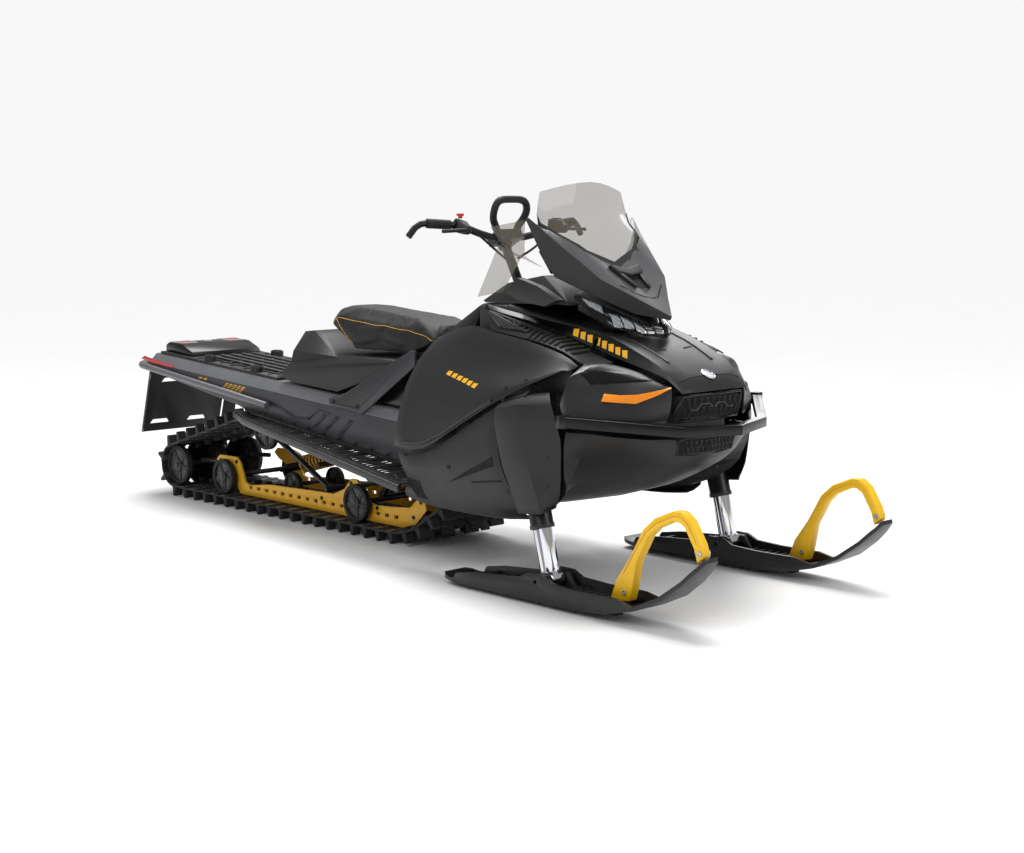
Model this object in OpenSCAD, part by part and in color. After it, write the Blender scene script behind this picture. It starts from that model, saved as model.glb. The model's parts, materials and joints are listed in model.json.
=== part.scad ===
// Utility snowmobile, one person, long track.
// +X is forward, +Y is the rider's left, +Z is up. Z = 0 is the ground.
// X = 0 is halfway between the ski tips and the snow flap.

/* [Overall] */
// Distance between the two ski centre lines
ski_stance = 830; // [820:5:840]
// Width of the track belt
track_w = 406; // [390:2:410]
// Height of the track's lugs
lug_h = 38; // [30:1:38]
// Width of the tunnel over its side plates
tunnel_w = 450; // [446:2:456]

/* [Skis] */
// Width of a ski at its middle
ski_w = 140; // [120:5:150]
// Width of a ski at its tip
ski_tip_w = 100; // [80:5:110]
// Height of the ski's pivot bolt
pivot_z = 72; // [70:1:76]
// Rake of the ski struts from vertical
rake = 14.6; // [14:0.1:15.2]
// Radius of the chrome strut tube
strut_r = 30; // [26:1:30]

/* [Steering] */
// Lean of the steering post from vertical, its top towards the rider
post_lean = 28; // [26:1:30]
// Radius of the handlebar tube
bar_r = 11; // [10:0.5:12]
// Sideways reach of each handlebar half
bar_reach = 355; // [340:5:360]

/* [Track drive] */
// Radius of the idler wheels along the slide rails
wheel_r = 69; // [60:1:69]
// Radius of the rear axle wheels
rear_wheel_r = 81; // [76:1:82]
// Number of lug rows on the belt
lugs = 54; // [48:1:58]
// Slide rails' distance from the centre line
rail_y = 140; // [130:1:145]

/* [Bodywork] */
// Thickness of the plastic panels
skin = 4; // [3:0.5:4]
// Thickness of the clear plastic
clear_t = 3; // [2.5:0.5:3]
// Width of the front bumper over its ends
bumper_w = 940; // [930:2:946]

/* [Hidden] */
$fn = 40;
belt_t = 8;
belt_in = lug_h + belt_t;
sy = ski_stance / 2;
pivot = [1012, 0, pivot_z];
up = [-sin(rake), 0, cos(rake)];
ty = tunnel_w / 2;
post_dir = [-sin(post_lean), 0, cos(post_lean)];
post_top = [362, 0, 1062];

// ---- helpers -------------------------------------------------------------

function unit(v) = v / max(norm(v), 1e-9);

// A point on a Catmull-Rom curve through four points
function blend(p, u) = 0.5 * (2 * p[1] + (p[2] - p[0]) * u
  + (2 * p[0] - 5 * p[1] + 4 * p[2] - p[3]) * u * u
  + (3 * p[1] - p[0] - 3 * p[2] + p[3]) * u * u * u);

// A row of points made k times finer along a smooth curve
function smooth(r, k) = let(n = len(r) - 1)
  [for (i = [0:n - 1]) for (s = [0:k - 1])
    blend([r[max(i - 1, 0)], r[i], r[i + 1], r[min(i + 2, n)]], s / k), r[n]];

function flip(g) = [for (j = [0:len(g[0]) - 1]) [for (i = [0:len(g) - 1]) g[i][j]]];

// A grid made ku times finer along its rows and kv times finer across them
function fine(g, ku, kv = 1) =
  flip([for (c = flip([for (r = g) smooth(r, ku)])) smooth(c, kv)]);

function other(p) = [p[0], -p[1], p[2]];

// A whole grid from the half on the right, whose first row is the centre line
function across(h) = concat(
  [for (i = [len(h) - 1:-1:1]) [for (p = h[i]) other(p)]], h);

// The same for columns: the last column of the right half is the centre line
function along(h) = [for (r = h) concat(r, [for (j = [len(r) - 2:-1:0]) other(r[j])])];

function normal_at(g, i, j) =
  let(a = g[min(i + 1, len(g) - 1)][j] - g[max(i - 1, 0)][j],
      b = g[i][min(j + 1, len(g[0]) - 1)] - g[i][max(j - 1, 0)])
  unit(cross(a, b));

// A closed sheet: the grid is its outer face, t is its thickness inwards
module sheet(g, t = skin) {
  n = len(g);
  m = len(g[0]);
  o = n * m;
  outer = [for (r = g) each r];
  inner = [for (i = [0:n - 1]) for (j = [0:m - 1]) g[i][j] - t * normal_at(g, i, j)];
  cells = [for (i = [0:n - 2]) for (j = [0:m - 2]) i * m + j];
  front = [for (c = cells) each [[c, c + m + 1, c + m], [c, c + 1, c + m + 1]]];
  back = [for (f = front) [f[2] + o, f[1] + o, f[0] + o]];
  rim = concat([for (j = [0:m - 1]) j], [for (i = [1:n - 1]) i * m + m - 1],
    [for (j = [m - 2:-1:0]) (n - 1) * m + j], [for (i = [n - 2:-1:1]) i * m]);
  k = len(rim);
  edge = [for (q = [0:k - 1]) let(a = rim[q], b = rim[(q + 1) % k])
    each [[a, a + o, b + o], [a, b + o, b]]];
  polyhedron(concat(outer, inner), concat(front, back, edge));
}

// A round bar between two points
module rod(a, b, r, grow = 0) {
  d = b - a;
  translate(a) rotate([0, acos(d[2] / norm(d)), atan2(d[1], d[0])])
    translate([0, 0, -grow]) cylinder(h = norm(d) + 2 * grow, r = r);
}

// A bent tube of radius r swept along a list of points
module pipe(points, r, sides = 10) {
  n = len(points);
  ring = [for (i = [0:n - 1])
    let(d = unit(points[min(i + 1, n - 1)] - points[max(i - 1, 0)]),
        u = unit(cross(d, [0.3, 0.1, 1])), v = cross(u, d))
    for (k = [0:sides - 1]) points[i] + r * (cos(360 * k / sides) * u + sin(360 * k / sides) * v)];
  walls = [for (i = [0:n - 2]) for (k = [0:sides - 1])
    let(a = i * sides + k, b = i * sides + (k + 1) % sides)
    each [[a, b, b + sides], [a, b + sides, a + sides]]];
  polyhedron(ring, concat(walls, [[for (k = [sides - 1:-1:0]) k]],
    [[for (k = [0:sides - 1]) (n - 1) * sides + k]]));
}

// A wheel or disc that turns about Y
module disc(x, y, z, r, w) {
  translate([x, y, z]) rotate([90, 0, 0]) cylinder(h = w, r = r, center = true);
}

// A side outline in X and Z, made into a plate w wide about y
module plate(y, w, outline) {
  translate([0, y + w / 2, 0]) rotate([90, 0, 0]) linear_extrude(w) polygon(outline);
}

module both_sides() {
  children();
  mirror([0, 1, 0]) children();
}

// ---- tunnel and rear -----------------------------------------------------

tunnel_rear = -1500;
tunnel_front = 420;
deck_slope = 0.0629;
function deck_z(x) = 507 - (x + 396) * deck_slope;
function side_z(x) = 470 - (x + 310) * deck_slope;
bevel_in = 35;

module tunnel_top() {
  // roof plate with its two folded bevels, three millimetres thick
  t = 3;
  color("dimgray") translate([tunnel_rear, 0, deck_z(tunnel_rear)])
    rotate([90, 0, 90]) multmatrix([[1, 0, 0, 0], [0, 1, -deck_slope, 0], [0, 0, 1, 0]])
      linear_extrude(tunnel_front - tunnel_rear)
        polygon([[-ty, -34], [-ty + bevel_in, 0], [ty - bevel_in, 0], [ty, -34],
          [ty, -38], [ty - bevel_in, -t - 1], [-ty + bevel_in, -t - 1], [-ty, -38]]);
}

module tunnel_side() {
  // flat side plate, its foot cut up towards the rear
  t = 3;
  gap = 8;
  color("dimgray") plate(-ty + t / 2, t, [
    [tunnel_rear, side_z(tunnel_rear) - gap], [tunnel_front, side_z(tunnel_front) - gap],
    [tunnel_front, 268], [136, 292], [-723, 372], [-870, 416], [tunnel_rear, 508]]);
}

board_slope = 0.107;
function board_z(x) = 384 - (x + 738) * board_slope;

module running_board() {
  // open step plate with its outer beam, one flat piece that falls to the front
  x0 = -738;
  x1 = 312;
  y0 = ty + 4;
  color([0.12, 0.12, 0.12]) {
    translate([0, 0, board_z(0)]) multmatrix([[1, 0, 0, 0], [0, 1, 0, 0],
      [-board_slope, 0, 1, 0]]) difference() {
      linear_extrude(5) polygon([[x0 - 134, -y0], [x1, -y0], [x1, -420], [x0, -296],
        [x0 - 134, -248]]);
      for (i = [0:10]) translate([x0 + 20 + i * 92, 0, -1]) linear_extrude(7)
        polygon([[0, -y0 - 14], [70, -y0 - 14], [70, -y0 - 44 - i * 10.6],
          [0, -y0 - 44 - i * 10.6 + 6]]);
    }
    translate([0, 0, board_z(0) - 24]) multmatrix([[1, 0, 0, 0], [0, 1, 0, 0],
      [-board_slope, 0, 1, 0]]) linear_extrude(24)
      polygon([[x0 - 134, -y0 - 6], [x0 - 134, -248 - 6], [x0, -302], [x1, -428],
        [x1, -412], [x0, -286], [x0 - 120, -y0 - 6]]);
  }
}

rail_slope = 0.107;
module rear_bumper() {
  // bent tube: two side bars along the tunnel and a bar across the back
  r = 13;
  y = ty + 20;
  bend = 60;
  long_bar = 850;
  color([0.1, 0.1, 0.1]) translate([-1568, 0, 532]) rotate([0, atan(rail_slope), 0]) {
    both_sides() {
      translate([bend, -y, 0]) rotate([0, 90, 0]) cylinder(h = long_bar, r = r);
      translate([bend, -y + bend, 0]) rotate([0, 0, 180]) rotate_extrude(angle = 90)
        translate([bend, 0]) circle(r = r);
      // clamps that hold the bar to the tunnel's side plate
      for (x = [230, 560, long_bar - 20])
        translate([x, -y, 0]) translate([-14, r - 2, -10]) cube([28, 20 - r + 2 - 3.2, 20]);
    }
    translate([0, y - bend, 0]) rotate([90, 0, 0]) cylinder(h = 2 * (y - bend), r = r);
  }
}

module on_deck(x0) {
  translate([x0, 0, deck_z(x0) + 0.5]) rotate([0, atan(deck_slope), 0]) children();
}

// anchor sockets: distances from the deck's rear edge, from its middle, and radius
socket_x = [322, 636];
socket_y = 160;
socket_r = 14;

module cargo_deck() {
  // ribbed plastic cover with four anchor sockets along its edges
  l = 800;
  half = 186;
  color([0.07, 0.07, 0.07]) on_deck(-1475) difference() {
    union() {
      translate([0, -half, 0]) cube([l, 2 * half, 10]);
      for (y = [-110, -60, -10, 40, 90]) translate([235, y, 10]) cube([l - 245, 20, 8]);
      for (x = socket_x) both_sides() translate([x, -socket_y, 10])
        cylinder(h = 20, r = socket_r + 12);
    }
    for (x = socket_x) both_sides() translate([x, -socket_y, 12])
      cylinder(h = 30, r = socket_r);
  }
}

module tail_light() {
  // raised lamp housing across the back of the deck
  w = 330;
  color([0.09, 0.09, 0.09]) on_deck(-1475) translate([0, 0, 10.5])
    rotate([90, 0, 0]) linear_extrude(w, center = true)
      polygon([[4, 0], [205, 0], [190, 18], [118, 40], [24, 38], [4, 24]]);
}

module tail_reflectors() {
  // red strips on both rear corners of the tunnel
  color("firebrick") both_sides() plate(-ty - 3, 5, [[-1555, 553], [-1530, 565],
    [-1500, 560], [-1310, 537], [-1325, 529], [-1500, 541]]);
}

module snow_flap() {
  // hanging rubber flap with folded wings and three slots
  color([0.1, 0.1, 0.1]) {
    difference() {
      sheet([for (s = [0, 1]) [for (y = [-190, -60, 60, 190])
        [-1552 - 77 * s, y, 500 - 262 * s]]], 6);
      for (q = [[-75, 0.17, 40], [-110, 0.84, 34], [70, 0.84, 34]])
        translate([-1550 - 77 * q[1], q[0], 500 - 262 * q[1]])
          rotate([0, 90, 0]) linear_extrude(60, center = true)
            polygon([[-8, -q[2]], [8, -q[2] - 12], [8, q[2] + 12], [-8, q[2]]]);
    }
    both_sides() sheet([[[-1549, -195, 495], [-1508, -222, 470]],
      [[-1622, -195, 243], [-1566, -225, 262]]], 6);
  }
}

// ---- seat and tank -------------------------------------------------------

module seat_base() {
  // moulded storage box under the seat, with a raised hump at its rear
  color([0.13, 0.13, 0.13]) {
    hull() {
      plate(0, 390, [[-640, 540], [-623, 569], [-300, 612], [87, 644], [92, 634],
        [-302, 512], [-575, 528]]);
      plate(0, 250, [[-630, 600], [-590, 640], [40, 650], [60, 640]]);
    }
    hull() {
      plate(0, 330, [[-626, 566], [-600, 640], [-340, 634], [-330, 600]]);
      plate(0, 190, [[-630, 600], [-617, 708], [-560, 714], [-500, 702], [-380, 650]]);
    }
  }
}

module seat_cushion() {
  color([0.15, 0.15, 0.15]) hull() {
    plate(0, 180, [[-446, 770], [-440, 798], [-420, 811], [-300, 808], [33, 780],
      [134, 754], [162, 726], [154, 710], [40, 662], [-300, 662], [-400, 716]]);
    plate(0, 268, [[-432, 752], [-385, 784], [-260, 777], [2, 756], [118, 730],
      [160, 714], [30, 660], [-290, 657]]);
  }
}

module seat_braces() {
  // slanted struts from the tunnel's edge up to the frame, one each side
  color([0.2, 0.2, 0.2]) both_sides() difference() {
    plate(-ty - 4.5, 8, [[-304, 470], [-300, 492], [-200, 520], [150, 690], [175, 690],
      [175, 640], [-60, 486], [-110, 452]]);
    for (p = [[-278, 482], [-140, 474]]) disc(p[0], -ty - 4.5, p[1], 4.2, 20);
  }
}

module fuel_tank() {
  // low tank between the tunnel's edges, rising under the console
  color([0.1, 0.1, 0.1]) {
    plate(0, 400, [[-150, deck_z(-150) + 3], [-150, 540], [92, 622], [190, 690],
      [190, deck_z(190) + 3]]);
    hull() {
      plate(0, 400, [[190, deck_z(190) + 3], [190, 690], [250, 730], [400, 745],
        [400, deck_z(400) + 3]]);
      plate(0, 250, [[190, 690], [244, 748], [330, 800], [396, 856], [412, 862],
        [424, 740]]);
    }
  }
}

module console() {
  // cowl around the steering post that carries the gauge and the deflectors
  color([0.08, 0.08, 0.08]) difference() {
    union() {
      hull() {
        plate(0, 400, [[480, 872], [600, 882], [860, 882], [866, 872], [490, 866]]);
        plate(0, 330, [[500, 868], [560, 930], [720, 958], [800, 930], [850, 870]]);
      }
      both_sides() plate(-236, 28, [[636, 902], [660, 930], [690, 952], [780, 930],
        [866, 890], [810, 868], [700, 880]]);
      both_sides() plate(-211, 24, [[650, 896], [690, 930], [830, 890], [810, 872]]);
    }
    rod([462, 0, 862] - 300 * post_dir, [462, 0, 862] + 300 * post_dir, 34);
  }
}

module gauge() {
  color([0.05, 0.05, 0.05]) translate([648, 0, 1002]) rotate([0, -38, 0]) {
    translate([-14, -78, -45]) cube([28, 156, 90]);
    translate([10, -20, -62]) cube([14, 40, 50]);
  }
}

// ---- cowl ----------------------------------------------------------------

// Upper side panel on the right, rows from its top edge down to the seam
side_rows = [
  [[311, -250, 745], [487, -266, 794], [640, -288, 780], [805, -309, 764],
    [966, -325, 734], [1040, -336, 706]],
  [[280, -296, 682], [420, -318, 684], [611, -342, 686], [800, -366, 682],
    [950, -364, 704], [1028, -350, 694]],
  [[258, -342, 590], [420, -372, 600], [600, -400, 612], [790, -425, 634],
    [925, -408, 668], [1016, -368, 694]],
  [[259, -378, 490], [415, -408, 468], [625, -438, 524], [798, -450, 604],
    [926, -420, 660], [1008, -374, 692]],
  [[264, -400, 396], [428, -420, 404], [632, -442, 502], [802, -454, 586],
    [926, -426, 648], [1004, -378, 688]]];

module side_panel() {
  color([0.16, 0.16, 0.17]) sheet(fine(side_rows, 3, 2));
}

// Lower side panel on the right, from the seam down to the belly
lower_rows = [
  [[272, -390, 380], [410, -408, 386], [530, -421, 434], [662, -435, 502],
    [790, -446, 566]],
  [[300, -402, 340], [430, -418, 350], [560, -434, 388], [690, -446, 430],
    [812, -452, 480]],
  [[332, -402, 298], [450, -416, 305], [580, -436, 332], [710, -450, 365],
    [834, -456, 400]],
  [[314, -396, 252], [450, -408, 258], [600, -424, 270], [740, -440, 288],
    [868, -446, 322]],
  [[308, -380, 228], [448, -388, 215], [640, -396, 218], [780, -400, 226],
    [892, -408, 248]],
  [[312, -342, 224], [448, -345, 208], [640, -350, 208], [780, -352, 214],
    [880, -352, 226]]];

module lower_panel() {
  color([0.15, 0.15, 0.16]) sheet(fine(lower_rows, 2, 2));
}

module intake_vents() {
  // ribbed strip between the hood's blade and the side panel, one on each side
  color([0.06, 0.06, 0.06]) both_sides() sheet(fine([
    [[560, -248, 838], [700, -230, 808], [860, -210, 772], [966, -198, 734],
      [1052, -194, 708]],
    [[569, -256, 806], [752, -260, 790], [860, -268, 774], [940, -280, 751],
      [1040, -300, 706]],
    [[600, -274, 786], [790, -297, 769], [880, -305, 757], [958, -313, 741],
      [1026, -318, 718]]], 2));
}

// Fairing around a ski strut on the right, rows from its top down
shroud_rows = [
  [[824, -420, 588], [832, -425, 594], [928, -425, 622], [1000, -415, 630]],
  [[808, -455, 566], [822, -472, 572], [924, -480, 592], [1045, -455, 600]],
  [[822, -456, 480], [838, -476, 480], [955, -482, 482], [1074, -444, 500]],
  [[846, -458, 397], [862, -474, 397], [980, -478, 397], [1070, -438, 420]],
  [[878, -452, 325], [895, -468, 322], [1005, -471, 318], [1062, -432, 340]],
  [[905, -442, 266], [918, -463, 262], [1012, -463, 272], [1042, -427, 290]]];

module strut_shroud() {
  color([0.14, 0.14, 0.15]) sheet(fine(shroud_rows, 1, 2));
}

function on_strut(s, side = -1) = pivot + [0, side * sy, 0] + s * up;

module strut_housings() {
  // fixed outer tubes of the two ski struts, each with its bore and top cap
  color([0.05, 0.05, 0.05]) for (side = [-1, 1])
    translate(on_strut(152, side)) rotate([0, -rake, 0]) {
      difference() {
        union() {
          cylinder(h = 380, r = 35.5);
          cylinder(h = 14, r = 38);
          translate([-40, side > 0 ? -95 : 40, 300]) cube([80, 55, 24]);
          translate([-12, side > 0 ? -60 : 30, 300]) cube([24, 30, 24]);
        }
        translate([0, 0, -1]) cylinder(h = 351, r = strut_r + 1.5);
      }
    }
}

// Tub under the engine, rows from the centre line out, columns from front to rear
belly_rows = [
  [[1272, 0, 488], [1262, 0, 440], [1222, 0, 392], [1100, 0, 330], [988, 0, 286],
    [800, 0, 240], [520, 0, 216]],
  [[1256, -130, 488], [1246, -130, 440], [1205, -130, 394], [1090, -130, 334],
    [985, -132, 291], [800, -135, 244], [520, -135, 218]],
  [[1222, -222, 492], [1206, -220, 446], [1166, -218, 402], [1068, -218, 347],
    [972, -220, 304], [800, -225, 250], [520, -225, 220]],
  [[1176, -308, 502], [1160, -302, 458], [1122, -298, 416], [1044, -296, 364],
    [958, -298, 322], [800, -300, 254], [520, -300, 222]],
  [[1120, -372, 514], [1106, -374, 476], [1084, -372, 436], [1046, -358, 380],
    [1000, -346, 326], [888, -335, 258], [520, -336, 226]],
  [[1084, -430, 520], [1080, -434, 484], [1076, -430, 438], [1064, -416, 384],
    [1038, -384, 325], [890, -348, 252], [520, -345, 214]]];

module belly_pan() {
  color([0.13, 0.13, 0.14]) sheet(fine(across(belly_rows), 2, 1));
}

// Cowl corner on the right between bumper and hood, rows from its top down
fender_rows = [
  [[1042, -306, 712], [1064, -268, 712], [1092, -226, 704], [1160, -186, 682],
    [1226, -170, 652]],
  [[1050, -384, 676], [1066, -340, 692], [1094, -272, 690], [1170, -212, 668],
    [1246, -160, 646]],
  [[1052, -402, 645], [1084, -356, 640], [1124, -312, 626], [1197, -248, 621],
    [1262, -168, 628]],
  [[1058, -430, 598], [1094, -400, 592], [1136, -352, 584], [1195, -262, 580],
    [1258, -172, 570]],
  [[1076, -430, 562], [1106, -404, 556], [1140, -356, 550], [1196, -270, 546],
    [1248, -180, 540]]];

module nose_fenders() {
  color([0.1, 0.1, 0.1]) both_sides() sheet(fine(fender_rows, 2, 2));
}

// Hood, rows from the centre line out to the right, columns from rear to front
hood_rows = [
  [[985, 0, 788], [1100, 0, 752], [1170, 0, 722], [1237, 0, 686], [1277, 0, 660],
    [1290, 0, 629]],
  [[980, -75, 790], [1090, -70, 756], [1166, -75, 722], [1232, -78, 686],
    [1273, -80, 660], [1290, -75, 629]],
  [[968, -160, 794], [1060, -163, 765], [1127, -160, 737], [1200, -158, 705],
    [1256, -150, 660], [1291, -143, 631]],
  [[970, -192, 746], [1050, -186, 722], [1141, -175, 697], [1200, -166, 680],
    [1238, -156, 662], [1286, -148, 626]]];

module hood() {
  color([0.12, 0.12, 0.13]) {
    sheet(fine(across(hood_rows), 2));
    // long blades that run back from the hood on both sides
    both_sides() sheet([
      smooth([[531, -235, 866], [603, -222, 850], [780, -195, 820], [958, -168, 796]], 4),
      smooth([[540, -246, 850], [623, -237, 836], [792, -217, 803], [960, -193, 749]], 4)]);
  }
}

module nose_grille() {
  // dark mesh panel under the hood's lip
  color([0.05, 0.05, 0.05]) sheet([
    [[1240, -150, 618], [1270, -138, 619], [1278, 0, 619], [1270, 138, 619],
      [1240, 150, 618]],
    [[1234, -164, 565], [1264, -146, 562], [1272, 0, 560], [1264, 146, 562],
      [1234, 164, 565]],
    [[1226, -158, 540], [1246, -142, 534], [1256, 0, 532], [1246, 142, 534],
      [1226, 158, 540]]], 8);
}

module headlight() {
  // one wrap-round lens block
  h = [
    [[886, -188, 906], [912, -160, 888], [946, -122, 870], [1030, -45, 820],
      [1090, 0, 812]],
    [[892, -189, 899], [930, -168, 860], [968, -136, 836], [1054, -62, 800],
      [1096, 0, 792]],
    [[898, -187, 892], [944, -164, 834], [978, -138, 808], [1060, -60, 786],
      [1088, 0, 774]]];
  color("lightgray") sheet(along(h), 12);
}

module lamp_bracket() {
  // dark carrier behind the lamp, under the front of the visor
  x0 = 872;
  color([0.05, 0.05, 0.05]) hull() {
    plate(0, 330, [[x0, 856], [x0, 908], [880, 904], [884, 876]]);
    plate(0, 250, [[x0, 838], [x0, 925], [900, 900], [925, 850], [925, 822]]);
    plate(0, 140, [[x0, 820], [x0, 940], [920, 905], [955, 850], [955, 812]]);
    plate(0, 30, [[x0, 820], [x0, 950], [950, 900], [1045, 812], [1045, 794]]);
  }
}

module side_reflectors() {
  // amber strips that follow the cowl corners and taper up to the hood
  g = fine(fender_rows, 2, 2);
  gap = 1.5;
  t = 3;
  function on(i, j) = let(a = floor(i), f = i - a)
    (1 - f) * g[a][j] + f * g[a + 1][j] + (gap + t) * normal_at(g, a, j);
  top = [4, 4, 3.9, 3.5, 2.6];
  low = [4.9, 4.95, 5, 4.1, 2.9];
  color("orange") both_sides()
    sheet([for (r = [top, low]) [for (k = [0:4]) on(r[k], k + 4)]], t);
}

// Visor around the windshield, rows from the glass outwards, columns to the centre
visor_rows = [
  [[742, -206, 1114], [780, -194, 1098], [820, -172, 1074], [856, -116, 1035],
    [870, -58, 1008], [875, 0, 991]],
  [[728, -238, 1139], [790, -212, 1084], [868, -180, 1021], [951, -148, 953],
    [1039, -65, 890], [1112, 0, 839]],
  [[722, -244, 1132], [758, -224, 1044], [806, -200, 956], [892, -160, 914],
    [1014, -60, 846], [1106, 0, 828]]];

module visor() {
  color([0.13, 0.13, 0.14]) sheet(along(visor_rows));
}

module windshield() {
  color([0.7, 0.68, 0.64, 0.5]) sheet(fine(along([
    [[724, -184, 1219], [750, -95, 1240], [765, 0, 1250]],
    [[730, -204, 1150], [758, -110, 1182], [770, 0, 1192]],
    [[744, -200, 1122], [780, -112, 1142], [794, 0, 1150]],
    [[796, -176, 1090], [818, -106, 1096], [828, 0, 1100]],
    [[838, -124, 1054], [846, -76, 1052], [852, 0, 1046]],
    [[848, -104, 1038], [858, -56, 1018], [869, 0, 1000]]]), 2, 2), clear_t);
}

module wind_deflectors() {
  // two clear panes on each side, over the console's side pieces
  color([0.7, 0.68, 0.64, 0.5]) both_sides() {
    sheet([[[657, -333, 1110], [715, -240, 1132]], [[667, -300, 1061], [735, -262, 1023]],
      [[700, -282, 1026], [806, -256, 990]]], clear_t);
    sheet([[[664, -306, 1054], [728, -266, 1020]], [[560, -300, 889], [633, -256, 908]]],
      clear_t);
  }
}

module front_bumper() {
  // bar bent round the nose, with two arms to the frame and a clamp at each end
  tall = 30;
  half_t = 15;
  reach = bumper_w / 2;
  bar = [[1378, 0, 518], [1320, 184, 521], [1088, reach - 22, 553]];
  color([0.05, 0.05, 0.05]) both_sides() {
    for (i = [0:len(bar) - 2]) hull()
      for (p = [bar[i], bar[i + 1]]) translate([p[0], -p[1], p[2]])
        cylinder(h = tall, r = half_t, center = true, $fn = 8);
    translate([1256, -130, 508]) cube([84, 28, 18]);
    translate([1074, -reach + 8, 535]) cube([28, 28, 38]);
  }
}

module engine_block() {
  color("gray") translate([560, -200, 312]) cube([360, 400, 300]);
}

// ---- track and its suspension --------------------------------------------

rear_z = belt_in + rear_wheel_r;
wheel_z = belt_in + wheel_r;
// circles the belt runs round: rear wheel, rail front, sprocket, idler
rounds = [[-1376, rear_z, rear_wheel_r], [-10, belt_in + 300, 300], [272, 282, 92],
  [-820, 311, 70]];
nr = len(rounds);
function lean(i) = let(a = rounds[i], b = rounds[(i + 1) % nr], dx = b[0] - a[0],
    dz = b[1] - a[1]) (atan2(dz, dx) + asin((a[2] - b[2]) / norm([dx, dz])) + 360) % 360;
function turn(i) = (lean(i) - lean((i + nr - 1) % nr) + 360) % 360;
function arc(i) = rounds[i][2] * turn(i) * PI / 180;
function run(i) = let(a = rounds[i], b = rounds[(i + 1) % nr])
  sqrt(pow(norm([b[0] - a[0], b[1] - a[1]]), 2) - pow(a[2] - b[2], 2));
loop_len = arc(0) + run(0) + arc(1) + run(1) + arc(2) + run(2) + arc(3) + run(3);

// The belt's inner face at distance s, moved out by d
function belt(s, d, i = 0) =
  s > arc(i) + run(i) && i < nr - 1 ? belt(s - arc(i) - run(i), d, i + 1) :
  let(c = rounds[i], q = min(s, arc(i)) / (c[2] * PI / 180),
      f = lean((i + nr - 1) % nr) + q, past = max(s - arc(i), 0))
  [c[0] + (c[2] + d) * sin(f) + past * cos(f), c[1] - (c[2] + d) * cos(f) + past * sin(f)];

module track() {
  pitch = loop_len / lugs;
  outer = [for (k = [0:lugs - 1]) let(s = k * pitch) each [
    belt(s + 2, belt_t), belt(s + 6, belt_in), belt(s + 13, belt_in),
    belt(s + 17, belt_t), belt(s + 36, belt_t), belt(s + 54, belt_t)]];
  inner = [for (k = [0:3 * lugs - 1]) belt(k * pitch / 3, 0)];
  color([0.06, 0.06, 0.06]) rotate([90, 0, 0]) linear_extrude(track_w, center = true)
    difference() {
      polygon(outer);
      polygon(inner);
    }
}

rail_outline = [[-1150, 172], [-1128, 192], [-1016, 194], [-992, 176], [-958, 100],
  [-930, 92], [-790, 110], [-514, 120], [-394, 124], [-330, 150], [-290, 192], [-256, 192],
  [-212, 128], [-155, 112], [-60, 118], [40, 128], [96, 176], [112, 170], [128, 130],
  [72, 74], [0, 52], [-990, 52], [-1040, 120], [-1120, 150]];

module slide_rails() {
  color("goldenrod") both_sides() difference() {
    plate(-rail_y, 10, rail_outline);
    for (i = [0:17]) translate([-920 + i * 52, -rail_y, 84])
      cube([22, 30, 13], center = true);
    disc(-1063, -rail_y, wheel_z, 10, 30);
    disc(-227, -rail_y, wheel_z, 10, 30);
  }
}

module wheel(x, y, z, r) {
  // a rubber-tyred idler: rim, dished web and hub
  difference() {
    disc(x, y, z, r, 22);
    for (s = [-1, 1]) disc(x, y + s * 11, z, r - 14, 12);
  }
  disc(x, y, z, 20, 24);
}

module idler_wheels() {
  color([0.08, 0.08, 0.08]) {
    both_sides() {
      wheel(-1376, -172, rear_z, rear_wheel_r - 1.5);
      wheel(-1063, -168, wheel_z, wheel_r - 0.5);
      wheel(-227, -168, wheel_z, wheel_r - 0.5);
      wheel(-820, -135, 311, 68.5);
      wheel(-700, -100, 116, 48);
    }
    wheel(-1376, 0, rear_z, rear_wheel_r - 1.5);
    disc(-1376, 0, rear_z, 10, 380);
    for (x = [-1063, -227]) disc(x, 0, wheel_z, 9.5, 360);
    disc(-820, 0, 311, 10, 300);
    disc(-700, 0, 116, 8, 230);
  }
}

module drive_axle() {
  color([0.07, 0.07, 0.07]) {
    rotate([90, 0, 0]) translate([272, 282, 0]) cylinder(h = 2 * ty - 8, r = 14, center = true);
    for (y = [-100, 100]) disc(272, y, 282, 90, 24);
  }
}

module suspension_arms() {
  // front arm from the tunnel to the rails, rear arm from the upper axle
  color([0.05, 0.05, 0.05]) {
    both_sides() {
      rod([-24, -118, 330], [-140, -118, 150], 12);
      rod([-806, -104, 292], [-465, -104, 128], 11);
      rod([-1290, -118, 150], [-1160, -118, 160], 9);
    }
    rod([-24, -212, 330], [-24, 212, 330], 13);
    rod([-140, -129, 150], [-140, 129, 150], 12);
    rod([-465, -129, 128], [-465, 129, 128], 11);
    rod([-600, -60, 200], [-600, 60, 200], 9);
  }
}

module shock(a, b) {
  rod(a, b, 9);
  rod(a + 0.16 * (b - a), a + 0.62 * (b - a), 26);
  rod(a + 0.62 * (b - a), a + 0.9 * (b - a), 17);
}

module suspension_shocks() {
  color([0.1, 0.1, 0.1]) {
    shock([-60, 0, 300], [-250, 0, 130]);
    shock([-560, 30, 235], [-960, 30, 130]);
  }
}

// ---- steering ------------------------------------------------------------

grip_in = [392, -230, 1112];
grip_out = [356, -bar_reach + 16, 1119];
bar_half = [[338, -bar_reach - 40, 1076], [344, -bar_reach - 18, 1104],
  [350, -bar_reach, 1116], grip_out, grip_in, [400, -150, 1086], [384, -70, 1070],
  [372, -30, 1066]];

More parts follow.
